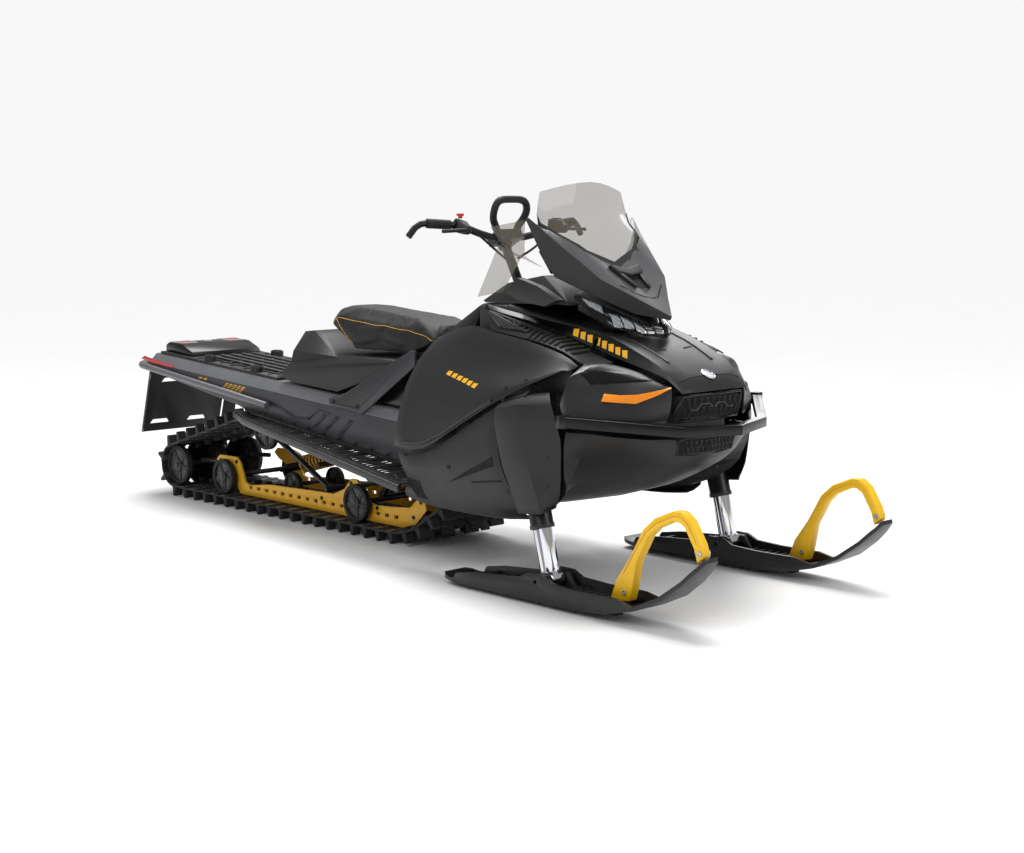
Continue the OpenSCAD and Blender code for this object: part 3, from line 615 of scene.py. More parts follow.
# Plain yellow bars where the machine carries its marks
both(lambda s, a: [laid(c, skins["hood"], 0.6, 0.8, (3, 3), a) for c in
                   slanted(884, 781, 8, 27, 18, 19, -8, -7.9)],
     "hood_bars", "yellow_loop", FILM)
both(lambda s, a: [laid(c, skins[f"side_panel_{s}"], 0.6, 0.8, (4, 2), a) for c in
                   slanted(474, 642, 6, 34, 25, 11, 6, -4.6)],
     "panel_bars", "yellow_loop", FILM)
both(lambda s, a: [laid(c, skins[f"tunnel_side_{s}"], 0.6, 0.8, (2, 1), a) for c in
                   slanted(-1146, 501, 2, 34, 24, 6, 6, -2)
                   + [q for row in range(4) for q in
                      slanted(-985 + row * 9, 474 + row * 6.5, 5, 27, 18, 3, 4, -1.7)]],
     "tunnel_dashes", "yellow_loop", FILM)


def tunnel_ribs(side, along):
    """Pressed ribs on the tunnel's side plate, a stepped one and three short slanted ones."""
    skin = skins[f"tunnel_side_{side}"]
    lines = [[(-690, 448), (-668, 452), (-500, 408), (-512, 398)],
             [(-512, 398), (-500, 408), (-428, 412), (-420, 402)],
             [(-428, 402), (-420, 412), (-372, 440), (-384, 440)],
             [(-384, 440), (-372, 446), (-300, 438), (-306, 430)],
             [(-400, 384), (-384, 380), (-322, 428), (-340, 430)],
             [(-340, 376), (-322, 372), (-250, 426), (-270, 430)],
             [(-262, 362), (-242, 358), (-170, 418), (-190, 424)],
             [(-262, 362), (-256, 354), (-226, 352), (-228, 360)]]
    return [laid(c, skin, 3.0, 3.0, (4, 2), along, 1.2) for c in lines]


both(tunnel_ribs, "tunnel_ribs", "tunnel_paint", SIDE_COAT)


def panel_joints_and_shade(side, along):
    """Dark joints and recesses of the side panels, laid on the skin as near-black sheets: the
    recesses are painted shade.
    """
    lower = skins[f"lower_panel_{side}"]
    louvres = [laid([(322 + i * 22, 300 - i * 2), (333 + i * 22, 300 - i * 2),
                     (392 + i * 13, 238 - i * 0.5), (380 + i * 13, 238 - i * 0.5)],
                    lower, 1.4, 1.6, (2, 5), along) for i in range(4)]
    wedge = laid([(575, 314), (800, 392), (792, 420), (575, 316)], lower, 1.2, 1.4, (8, 3),
                 along)
    step = laid([(690, 332), (880, 360), (880, 354), (690, 326)], lower, 0.7, 1.0, (8, 1),
                along)
    sign = -1 if along == "y" else 1
    hinge = ribbon([(826, sign * 424, 603), (880, sign * 427, 617), (932, sign * 427, 631)],
                   [(830, sign * 442, 593), (884, sign * 448, 605), (936, sign * 450, 617)],
                   4)
    return louvres + [wedge, step, hinge]


# near-black sheets: dark joints, and painted shade in the panels' recesses
both(panel_joints_and_shade, "panel_joints_and_shade", "black_plastic", JOINT_AND_SHADE_BLACK)


def panel_beads(side, along):
    """The rolled bead above the seam of the side panels."""
    sign = -1 if along == "y" else 1
    path = between(((300, 411), (350, 413), (430, 424), (540, 466), (640, 516), (740, 566),
                    (810, 598)), 4)
    return [tube(trace(skins[f"side_panel_{side}"], [(x, sign * 3000, z) for x, z in path],
                       (0, -sign, 0), 1.5), 6, 12)]


def screw(radius, head=3.0):
    """A round-headed screw with a hexagon socket, along +Z at the origin."""
    bpy.ops.mesh.primitive_cylinder_add(vertices=24, radius=radius * MM, depth=head * MM,
                                        location=(0, 0, head * MM / 2))
    obj = settle(bpy.context.object)
    choose(obj, lambda f: f.normal.z > 0.9)
    bpy.ops.mesh.inset(thickness=radius * 0.45 * MM)
    bpy.ops.mesh.extrude_region_move(TRANSFORM_OT_translate={"value": (0, 0, -head * 0.6 * MM)})
    done()
    round_edges(obj, 0.6, 2, 50)
    return soften(obj, 40)


def screws(name, places, radius, body="chassis", slot="chrome", material=None, head=3.0):
    """Screws standing on surfaces: each place is a point in mm and the way it faces."""
    one = screw(radius, head)
    out = [copy_of(one, aim(n, [c * MM for c in p])) for p, n in places]
    remove(one)
    return dress(join(out), name, body, slot, material or ZINC)


both(panel_beads, "panel_beads", "panel_plastic", PANEL)


def nose_trim(side, along):
    """The gloss ledge above the amber strips."""
    return [laid([(1056, 696), (1140, 684), (1200, 662), (1090, 654)],
                 skins["nose_fenders"], 1.2, 1.6, (8, 4), along, 0.4)]


both(nose_trim, "nose_trim", "black_plastic", GLOSS)


def side_screws():
    places = []
    for side, sign in SIDES:
        ray = (0, -sign, 0)
        far = sign * 3000
        for skin, spots in ((f"strut_shroud_{side}", ((1032, 441), (1030, 352))),
                            (f"side_panel_{side}", ((836, 632), (900, 660))),
                            (f"lower_panel_{side}", ((300, 330), (318, 372), (852, 318)))):
            for x, z in spots:
                p, n = surface(skins[skin], (x, far, z), ray)
                places.append((p, n))
        for x in range(-700, 300, 90):
            p, n = surface(skins[f"tunnel_side_{side}"],
                           (x, far, 384 - (x + 738) * 0.107 + 18), ray)
            places.append((p, n))
    return screws("cowl_screws", places, 6.5, slot="black_metal", material=STEEL)


side_screws()
screws("brace_bolts", [((x, s * 233.5, z), (0, s, 0)) for s in (-1, 1)
                       for x, z in ((-278, 482), (-140, 474))], 8.5, slot="black_metal",
       material=STEEL)


def tunnel_seams():
    """The rolled seam where each side plate meets the tunnel's bevelled top."""
    seams = [tube([(x, s * 223.8, 537.6 - (x + 1500) * 0.0625) for x in range(-1498, 260, 50)],
                  2.6, 8, resolution=1) for s in (-1, 1)]
    trim(seams, "tunnel_seams", "tunnel_paint", SIDE_COAT)


tunnel_seams()


def step_treads():
    """Zigzag treads across the openings of the step plates."""
    out = []
    for sign in (-1, 1):
        for i in range(11):
            x0 = -718 + i * 92
            reach = 273 + i * 10.6
            pts = []
            for k in range(7):
                x = x0 + 2 + k * 11
                pts.append((x, sign * (241 if k % 2 else reach + 2),
                            400.5 - (x + 872) * 0.107))
            out.append(tube(pts, 2.6, 6, resolution=1))
    trim(out, "step_treads", "black_metal", STEEL)


step_treads()


# ---- hood, lamp and grilles ----------------------------------------------------

def hood_trim():
    hood = skins["hood"]
    # plain disc on the nose, with a raised rim
    p, n = surface(hood, (1258, 0, 2000), (0, 0, -1))
    disc = drum(24, 3, (0, 0, 1.5), "z", 48, 0.8)
    choose(disc, lambda f: f.normal.z > 0.9 and f.calc_center_median().z > 0.002)
    bpy.ops.mesh.inset(thickness=0.003)
    bpy.ops.mesh.extrude_region_move(TRANSFORM_OT_translate={"value": (0, 0, -0.0012)})
    done()
    soften(disc, 40)
    disc.data.transform(aim(n, [c * MM for c in p]))
    dress(disc, "hood_disc", "chassis", "chrome", MIRROR)
    # joint across the nose and the raised centre wedge
    lines = [laid([(1262, -140), (1262, 140), (1258, 140), (1258, -140)], hood, 0.6, 0.9,
                  (16, 1), "z")]
    lines += [laid([(1120, s * 86), (1128, s * 40), (1122, s * 40), (1114, s * 86)], hood,
                   0.7, 1.0, (6, 1), "z") for s in (-1, 1)]
    trim(lines, "hood_joints", "black_plastic", JOINT_AND_SHADE_BLACK)
    ridge = [laid([(1010, s * 118), (1190, s * 104), (1190, s * 96), (1010, s * 106)], hood,
                  3.0, 4.0, (14, 2), "z", 1.0) for s in (-1, 1)]
    trim(ridge, "hood_ridges", "hood_plastic", COWL)


hood_trim()


def lattice(y_half, z_low, z_high, cell, bar, target, name):
    """A mesh of hexagons before a dark panel of painted shade."""
    bars = []
    rows = max(2, round((z_high - z_low) / (cell * 0.87)))
    for r in range(rows + 1):
        z = z_low + (z_high - z_low) * r / rows
        count = int(y_half // cell)
        for i in range(-count, count + 1):
            y = i * cell + (cell / 2 if r % 2 else 0)
            if abs(y) + cell * 0.3 > y_half:
                continue
            bars.append(((y - cell * 0.3, z), (y + cell * 0.3, z)))
            if r < rows:
                zn = z + (z_high - z_low) / rows
                bars.append(((y - cell * 0.3, z), (y - cell * 0.5 + cell * 0.08, zn)))
                bars.append(((y + cell * 0.3, z), (y + cell * 0.5 - cell * 0.08, zn)))
    trim([tube(trace(target, *from_ahead(ends), 5), bar, 4, resolution=1) for ends in bars],
         name, "black_plastic", NYLON)


lattice(132, 552, 608, 27, 1.1, skins["nose_grille"], "grille_mesh")
lattice(118, 442, 478, 20, 1.1, skins["belly_pan"], "lower_mesh")


def grille_trim():
    grille, belly = skins["nose_grille"], skins["belly_pan"]
    outline = [(-138, 616), (138, 616), (158, 566), (142, 542), (-142, 542), (-158, 566)]
    pts = trace(grille, *from_ahead([(y * 0.97, z) for y, z in outline]), shift=(5, 0, 0))
    dress(ringed(pts, 4, 8), "grille_frame", "chassis", "black_plastic", BUMPER)
    # two bright mouldings in the grille, plain stepped bars
    marks = []
    for s in (-1, 1):
        path = [(s * 96, 574), (s * 70, 574), (s * 56, 590), (s * 16, 590), (s * 4, 578)]
        marks.append(tube(trace(grille, *from_ahead(path), shift=(8, 0, 0)), 1.0, 6,
                          resolution=1))
    trim(marks, "grille_mouldings", "black_plastic", COATED)
    # a near-black sheet on the belly behind the lower mesh: painted shade for the opening
    back = laid([(-126, 438), (126, 438), (132, 484), (-132, 484)], belly, 0.8, 1.4, (16, 3),
                "x")
    dress(back, "lower_grille_painted_shade", "chassis", "black_plastic", JOINT_AND_SHADE_BLACK)
    outline = [(-132, 484), (132, 484), (126, 438), (60, 432), (-60, 432), (-126, 438)]
    pts = trace(belly, *from_ahead(outline), shift=(2, 0, 0))
    dress(ringed(pts, 3, 8), "lower_grille_frame", "chassis", "panel_plastic", PANEL)


grille_trim()


def lamp_internals():
    """Metallised cups and dark fins set inside the clear lens."""
    lens = skins["headlight"]
    cover = bare(lens)
    modify(cover, "DISPLACE", strength=0.0036, mid_level=0)
    dress(cover, "lamp_cover", "chassis", "lamp_lens", LENS)
    cups, fins = [], []
    for sign in (-1, 1):
        for i in range(5):
            y0, y1 = sign * (10 + i * 24), sign * (30 + i * 24)
            hi = 806 + i * 9
            cups.append(laid([(y0, 784 + i * 2), (y1, 786 + i * 2), (y1, hi + 6), (y0, hi)],
                             lens, 1.6, 1.4, (4, 4), "x", 0.4))
            fins.append(laid([(y1 + sign * 1, 782 + i * 2), (y1 + sign * 3, 782 + i * 2),
                              (y1 + sign * 3, hi + 8), (y1 + sign * 1, hi + 8)],
                             lens, 2.8, 2.8, (1, 4), "x"))
        cups.append(laid([(sign * 140, 846), (sign * 170, 872), (sign * 178, 894),
                          (sign * 134, 872)], lens, 1.6, 1.4, (5, 4), "x"))
    trim(cups, "lamp_cups", "chrome", MIRROR)
    trim(fins, "lamp_fins", "black_plastic", GLOSS)
    line = ((2, 776), (60, 787), (110, 800), (136, 810), (160, 840), (176, 866))
    rim = [tube(trace(lens, *from_ahead([(s * y, z) for y, z in line]), 0.5), 3.2, 8)
           for s in (-1, 1)]
    trim(rim, "lamp_rim", "black_plastic", GLOSS)


lamp_internals()


def visor_trim():
    """Raised bridge at the foot of the windshield, with a near-black sheet of painted shade for
    its slot, and a joint.
    """
    visor = skins["visor"]
    bridge = laid([(906, -70), (906, 70), (936, 56), (936, -56)], visor, 14, 14, (10, 3), "z",
                  2.0)
    legs = [laid([(930, s * 56), (930, s * 42), (990, s * 26), (990, s * 36)], visor, 10, 10,
                 (6, 2), "z", 2.0) for s in (-1, 1)]
    trim([bridge] + legs, "visor_bridge", "hood_plastic", NYLON)
    # the slot is a near-black sheet laid on the visor: painted shade
    slot = laid([(938, -40), (938, 40), (984, 26), (984, -26)], visor, 0.8, 1.2, (6, 3), "z")
    dress(slot, "visor_slot_painted_shade", "chassis", "black_plastic", JOINT_AND_SHADE_BLACK)
    line = [laid([(985, s * 96), (1030, s * 30), (1026, s * 28), (981, s * 94)], visor, 0.5,
                 0.9, (8, 1), "z") for s in (-1, 1)]
    line.append(laid([(1030, -30), (1030, 30), (1026, 28), (1026, -28)], visor, 0.5, 0.9,
                     (6, 1), "z"))
    trim(line, "visor_joints", "black_plastic", JOINT_AND_SHADE_BLACK)


visor_trim()


def intake_slats():
    """Rounded slats across the intake strips."""
    skin = skins["intake_vents"]
    out = []
    for side, sign in SIDES:
        for i in range(15):
            x = 622 + i * 24
            lo_y, hi_y = 222 - i * 1.2, 290 + i * 0.8
            pts = []
            for k in range(5):
                y = lo_y + (hi_y - lo_y) * k / 4
                p, n = surface(skin, (x + k * 5, sign * y, 2000), (0, 0, -1))
                if n.z < 0:
                    n = -n
                pts.append((Vector(p) + n * 3)[:])
            out.append(tube(pts, 5.0, 8))
    trim(out, "intake_slats", "black_plastic", NYLON)


intake_slats()


def inner_shells():
    """Dark inner structure that shows between the panels of the cowl."""
    mid = box((360, 440, 168), (780, 0, 784), edge=0)
    narrow(mid, 0, 1, (1, 0.62, 0.6), (0, 0, -45))
    cheeks = [narrow(box((140, 150, 150), (540, s * 141, 789), edge=0), 0, -1,
                     (1, 0.96, 0.9)) for s in (-1, 1)]
    nose = box((290, 640, 250), (1072, 0, 566), edge=0)
    narrow(nose, 0, 1, (1, 0.42, 0.7), (0, 0, -10))
    webs = [box(size, (x, s * y, z), edge=2) for size, x, y, z in (
        ((70, 10, 214), 975, 352, 432), ((150, 8, 80), 945, 340, 665),
        ((250, 8, 110), 430, 362, 425), ((250, 8, 150), 675, 378, 505)) for s in (-1, 1)]
    shells = [round_edges(o, 14, 3) for o in [mid, nose] + cheeks] + webs
    dress(soften(join(shells), 40), "inner_shells", "chassis", "black_plastic", NYLON)
    glass = [(730, 204, 1150), (744, 200, 1122), (796, 176, 1090), (838, 124, 1054),
             (848, 104, 1038), (869, 0, 1000)]
    edge = [(742, 210, 1112), (772, 200, 1100), (812, 180, 1070), (868, 122, 1024),
            (880, 84, 1004), (888, 0, 984)]
    one = [(x, -y, z) for x, y, z in glass] + glass[-2::-1]
    two = [(x, -y, z - 4) for x, y, z in edge] + [(x, y, z - 4) for x, y, z in edge[-2::-1]]
    dress(ribbon(one, two, 3.5), "screen_gasket", "chassis", "grip_rubber", GRIP)


inner_shells()


# ---- track ----------------------------------------------------------------------

LUG_H, BELT_T = 38, 8
BELT_IN = LUG_H + BELT_T
ROUNDS = ((-1376, BELT_IN + 81, 81), (-10, BELT_IN + 300, 300), (272, 282, 92),
          (-820, 311, 70))
ROWS = 54


def belt_runs():
    """The belt's inner line as arcs and straight runs round the four circles."""
    n = len(ROUNDS)
    lean = []
    for i in range(n):
        (ax, az, ar), (bx, bz, br) = ROUNDS[i], ROUNDS[(i + 1) % n]
        gap = math.hypot(bx - ax, bz - az)
        lean.append((math.atan2(bz - az, bx - ax) + math.asin((ar - br) / gap)) % (2 * math.pi))
    runs = []
    for i in range(n):
        (ax, az, ar), (bx, bz, br) = ROUNDS[i], ROUNDS[(i + 1) % n]
        before = lean[i - 1]
        bend = (lean[i] - before) % (2 * math.pi)
        straight = math.sqrt((bx - ax) ** 2 + (bz - az) ** 2 - (ar - br) ** 2)
        runs.append((ROUNDS[i], before, bend, straight))
    return runs


RUNS = belt_runs()
LOOP_LEN = sum(r[0][2] * r[2] + r[3] for r in RUNS)
PITCH = LOOP_LEN / ROWS


def belt_at(s, out=0.0):
    """Point on the belt at distance s and out mm above its inner face, with its heading."""
    s %= LOOP_LEN
    for (cx, cz, r), before, bend, straight in RUNS:
        if s <= r * bend + straight:
            turned = min(s, r * bend) / r
            past = max(s - r * bend, 0)
            f = before + turned
            return (cx + (r + out) * math.sin(f) + past * math.cos(f),
                    cz - (r + out) * math.cos(f) + past * math.sin(f), f)
        s -= r * bend + straight
    return belt_at(0, out)


def row_matrix(s, out=0.0):
    """Stands a piece made with +X along the belt and +Z outwards on the belt."""
    x, z, f = belt_at(s, out)
    ahead = Vector((math.cos(f), 0, math.sin(f)))
    away = Vector((math.sin(f), 0, -math.cos(f)))
    across = away.cross(ahead)
    turn = Matrix((ahead, across, away)).transposed().to_4x4()
    return Matrix.Translation((x * MM, 0, z * MM)) @ turn


def along_belt(kinds, shift=0.0):
    """Copies of some pieces, in turn, on every row of the belt."""
    made = [copy_of(kinds[k % len(kinds)], row_matrix(k * PITCH + shift))
            for k in range(ROWS)]
    for kind in kinds:
        remove(kind)
    return made


def make_track():
    steps = ROWS * 4
    bands = []
    # three bands of belt with windows between them, where the sprockets drive
    for y0, y1 in ((-203, -112), (-88, 88), (112, 203)):
        bpy.ops.mesh.primitive_grid_add(x_subdivisions=steps, y_subdivisions=4, size=2)
        band = bpy.context.object
        for v in band.data.vertices:
            s = (v.co.x + 1) / 2 * LOOP_LEN
            y = y0 + (v.co.y + 1) / 2 * (y1 - y0)
            x, z, _ = belt_at(min(s, LOOP_LEN - 1e-6) if v.co.x < 0.999 else 0, 0)
            v.co = (x * MM, y * MM, z * MM)
        edit(band)
        bpy.ops.mesh.remove_doubles(threshold=0.00001)
        bpy.ops.mesh.normals_make_consistent(inside=False)
        done()
        # faces look outwards, so the belt grows that way from its inner line
        f = band.data.polygons[0]
        x, z, heading = belt_at(LOOP_LEN / steps / 2)
        if f.normal.dot(Vector((math.sin(heading), 0, -math.cos(heading)))) < 0:
            band.data.flip_normals()
        modify(band, "SOLIDIFY", thickness=BELT_T * MM, offset=1)
        bands.append(soften(band, 30))
    # the ladder bars that join the bands, one under each lug row
    bars = along_belt([box((30, 400, 7), (0, 0, 4), edge=1.5, segments=1)], 9.5)
    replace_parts(trim(bands + bars, "track_belt", "track_rubber", RUBBER), "track")

    def block(wide, y, tall):
        """A tapered lug with a hollow face."""
        lug = box((24, wide, tall), (9.5, y, BELT_T + tall / 2 - 0.5), edge=0, segments=1)
        top = (BELT_T + tall - 1) * MM
        choose(lug, lambda f: f.calc_center_median().z > top)
        bpy.ops.transform.resize(value=(0.5, 0.9, 1))
        done()
        return round_edges(lug, 1.6, 1)

    kinds = []
    for layout in (((70, -166), (58, -66), (58, 66), (70, 166)),
                   ((40, -180), (74, -112), (60, 0), (74, 112), (40, 180))):
        kinds.append(join([block(w, y, LUG_H) for w, y in layout]
                          + [block(36, y, 16) for y in
                             ((-116, 0, 116) if len(layout) == 4 else (-58, 58))]))
    dress(soften(join(along_belt(kinds)), 30), "track_lugs", "chassis", "track_rubber",
          RUBBER)
    # drive lugs inside the belt, in two lanes
    pair = join([box((22, 26, 20), (9.5, y, -10), edge=3, segments=1) for y in (-62, 62)])
    dress(soften(join(along_belt([pair])), 30), "track_drive_lugs", "chassis",
          "track_rubber", RUBBER)
    # steel clips folded round the ladder bars under the rails
    clip = join([box((26, 38, 2.4), (9.5, s * y, -1.4), edge=0.6, segments=1)
                 for y in (140, 190) for s in (-1, 1)])
    trim(along_belt([clip]), "track_clips", "black_metal", STEEL)


make_track()


# ---- wheels -------------------------------------------------------------------------

def wheel(radius, y, x, z):
    """An idler: rubber tyre, rim, five spokes, hub and bolt."""
    wide = 22
    reach = radius * 0.52
    bpy.ops.mesh.primitive_cylinder_add(vertices=56, radius=radius * MM, depth=wide * MM,
                                        rotation=(math.pi / 2, 0, 0))
    rim = settle(bpy.context.object)
    choose(rim, lambda f: abs(f.normal.y) > 0.9)
    bpy.ops.mesh.inset(thickness=radius * 0.22 * MM)
    bpy.ops.mesh.delete(type="FACE")
    for e in bmesh.from_edit_mesh(rim.data).edges:
        if e.is_boundary:
            e.select_set(True)
    bmesh.update_edit_mesh(rim.data)
    bpy.ops.mesh.bridge_edge_loops()
    bpy.ops.mesh.select_all(action="SELECT")
    bpy.ops.mesh.normals_make_consistent(inside=False)
    done()
    round_edges(rim, 2.2, 2, 50)
    parts = [rim, drum(radius * 0.3, wide + 2, sides=32, edge=2),
             drum(radius * 0.17, wide + 7, sides=6, edge=1),
             drum(radius * 0.8, 5, sides=40, edge=0)]
    for k in range(5):
        for size, edge in (((radius * 0.56, 14, radius * 0.3), 2.5),
                           ((radius * 0.5, 18, 3.5), 1)):
            bar = box(size, (reach, 0, 0), edge=edge)
            bar.data.transform(Matrix.Rotation(k * 2 * math.pi / 5 + 0.3, 4, "Y"))
            parts.append(bar)
    made = join(parts)
    made.data.transform(Matrix.Translation((x * MM, y * MM, z * MM)))
    return soften(made, 35)


WHEELS = [(s * y, x, z, r) for s in (-1, 1) for y, x, z, r in (
    (172, -1376, BELT_IN + 81, 79.5), (168, -1063, BELT_IN + 69, 68.5),
    (168, -227, BELT_IN + 69, 68.5), (135, -820, 311, 68.5), (100, -700, 116, 48))]
WHEELS.append((0, -1376, BELT_IN + 81, 79.5))


def on_tyre(p):
    """Whether a point lies in the outer rubber ring of one of the wheels."""
    return any(abs(p.y - y) < 14 and r * 0.76 < math.hypot(p.x - x, p.z - z) < r * 1.01
               for y, x, z, r in WHEELS)


def make_wheels():
    rear_z, low_z = BELT_IN + 81, BELT_IN + 69
    made = [wheel(r, y, x, z) for y, x, z, r in WHEELS]
    for x, z, r, half in ((-1376, rear_z, 10, 190), (-1063, low_z, 9.5, 180),
                          (-227, low_z, 9.5, 180), (-820, 311, 10, 150),
                          (-700, 116, 8, 115)):
        made.append(soften(drum(r, 2 * half, (x, 0, z), sides=24), 40))
    skin = trim(made, "idler_wheels_skin", "wheel_plastic", WHEEL)
    skin.data.materials.append(RUBBER)
    for f in skin.data.polygons:
        f.material_index = int(on_tyre(f.center / MM))
    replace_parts(skin, "idler_wheels")


make_wheels()


def coil(a, b, radius, wire, turns):
    """A coil spring between two points, in mm."""
    a, b = Vector(a), Vector(b)
    axis = (b - a).normalized()
    side = axis.cross(Vector((0, 1, 0))).normalized()
    up = axis.cross(side)
    steps = turns * 14
    pts = []
    for i in range(steps + 1):
        t = i / steps
        ang = 2 * math.pi * turns * t
        pts.append((a + (b - a) * t + radius * (math.cos(ang) * side + math.sin(ang) * up))[:])
    return tube(pts, wire, 8, resolution=1)


def springs():
    out = [coil((-90, 0, 273), (-178, 0, 195), 31, 4.5, 7),
           coil((-624, 30, 218), (-808, 30, 170), 31, 4.5, 9)]
    trim(out, "shock_springs", "yellow_rail", RAIL)
    straps = [tube([(-60, s * 30, 292), (-150, s * 34, 160), (-250, s * 34, 132)], 3.5, 6)
              for s in (-1, 1)]
    trim(straps, "limiter_straps", "black_metal", GRIP)
    slides = [tube([(-985, s * 140, 49.4), (-600, s * 140, 49.4), (-6, s * 140, 49.4)], 2.2, 6,
                   resolution=1) for s in (-1, 1)]
    trim(slides, "rail_slides", "black_plastic", NYLON)


springs()
screws("rail_bolts", [((x, s * 145, z), (0, s, 0)) for s in (-1, 1)
                      for x, z in ((-1118, 172), (-1010, 176), (-465, 100), (-290, 176),
                                   (-140, 104), (60, 96), (100, 154))], 7.5,
       slot="black_metal", material=STEEL)


# ---- skis ------------------------------------------------------------------------------

def ski_trim():
    for side, sign in SIDES:
        y = sign * 415
        body = f"{side}_ski"
        bolts = [((x, y + s * 17, z), (0, s, 0)) for s in (-1, 1)
                 for x, z in ((1322, 84), (1598, 236))]
        bolts += [((1012, y + s * 47, 72), (0, s, 0)) for s in (-1, 1)]
        screws(f"ski_bolts_{side}", bolts, 8, body=body, slot="chrome", head=4)
        # rubber block between the ski's saddle walls, and ribs across the ski
        rubber = box((96, 68, 14), (1012, y, 33), edge=4)
        dress(soften(rubber, 40), f"ski_rubber_{side}", body, "track_rubber", RUBBER)
        ribs = [box((5, 100, 9), (x, y, z), edge=1.5, segments=1) for x, z in
                ((690, 34), (760, 34), (840, 34))]
        ribs += [box((4, 92, 22), (x, y, 46 + max(0, x - 1200) * 0.06), edge=1, segments=1)
                 for x in range(1096, 1300, 30)]
        dress(soften(join(ribs), 40), f"ski_ribs_{side}", body, "ski_plastic", SKI)
        # grooves along the loop
        for s in (-1, 1):
            pts = [(x, y + s * 17.3, z) for x, z in
                   ((1318, 140), (1362, 212), (1402, 270), (1440, 300), (1502, 327),
                    (1530, 329), (1554, 312), (1586, 262))]
            dress(tube(pts, 1.6, 6, resolution=1), f"loop_groove_{side}_{'ab'[s > 0]}", body,
                  "yellow_loop", RAIL)
        # rubber seal where the chrome tube leaves the fairing
        rake = math.radians(14.6)
        lip = Vector((1012, y, 72)) + 158 * Vector((-math.sin(rake), 0, math.cos(rake)))
        seal = drum(37.5, 12, (0, 0, 0), "z", 40, 2)
        seal.data.transform(Matrix.Translation(lip * MM) @ Matrix.Rotation(-rake, 4, "Y"))
        dress(soften(seal, 40), f"strut_seal_{side}", "chassis", "black_metal", GRIP)


ski_trim()


# ---- rider's end: grips, levers, screen, windshield trim ---------------------------------

def make_grips():
    """Ribbed rubber grips round the bar."""
    a, b = Vector((392, 230, 1112)), Vector((356, 339, 1119))
    for side, sign in SIDES:
        start, end = [Vector((p.x, sign * p.y, p.z)) for p in (a.lerp(b, 0.24),
                                                                a.lerp(b, 0.96))]
        parts = [tube([start[:], end[:]], 15.2, 20, resolution=1)]
        for k in range(12):
            at = start.lerp(end, (k + 0.5) / 12)
            ring = drum(16, 3.2, (0, 0, 0), "z", 24, 0.8)
            ring.data.transform(aim(end - start, at * MM))
            parts.append(ring)
        dress(soften(join(parts), 40), f"grip_{side}", "steering", "grip_rubber", GRIP)
        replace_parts(bpy.data.objects[f"grip_{side}"], "grips")


make_grips()


def make_grab_loop():
    """Rubber-covered loop over the clamp block."""
    half = [(380, -44, 1088), (378, -50, 1108), (386, -70, 1130), (398, -76, 1160),
            (402, -66, 1186), (402, -44, 1195), (402, -18, 1196)]
    loop = tube(half + [(x, -y, z) for x, y, z in half[::-1]], 12.5, 14)
    dress(loop, "grab_loop_skin", "steering", "grip_rubber", GRIP)
    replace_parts(loop, "grab_loop")


make_grab_loop()


def controls_trim():
    """Reservoir and cable on the left, throttle cable on the right, rubber wraps round the bar.
    """
    tank = box((34, 40, 22), (410, 196, 1118), (0, 0.1, 0.25), 3)
    cap = drum(11, 5, (410, 196, 1131), "z", 24, 1)
    dress(soften(join([tank, cap]), 40), "brake_reservoir", "steering", "black_plastic", NYLON)
    cables = [tube([(404, -190, 1104), (420, -150, 1072), (420, -90, 1030), (405, -30, 1000)],
                   4, 8),
              tube([(404, 170, 1100), (420, 140, 1070), (420, 84, 1030), (405, 26, 1000)],
                   4, 8)]
    dress(join(cables), "bar_cables", "steering", "black_plastic", GRIP)
    wraps = [tube([(397, s * 196, 1102), (402, s * 150, 1086), (394, s * 110, 1078),
                   (384, s * 72, 1070)], 12.2, 12) for s in (-1, 1)]
    dress(join(wraps), "bar_wraps", "steering", "grip_rubber", GRIP)


controls_trim()


def gauge_glass():
    at = Matrix.Translation((0.648, 0, 1.002)) @ Matrix.Rotation(math.radians(-38), 4, "Y")
    glass = box((2, 132, 68), (-14.6, 0, 0), edge=0.8)
    glass.data.transform(at)
    dress(glass, "gauge_glass", "chassis", "gauge", GLOSS)


gauge_glass()


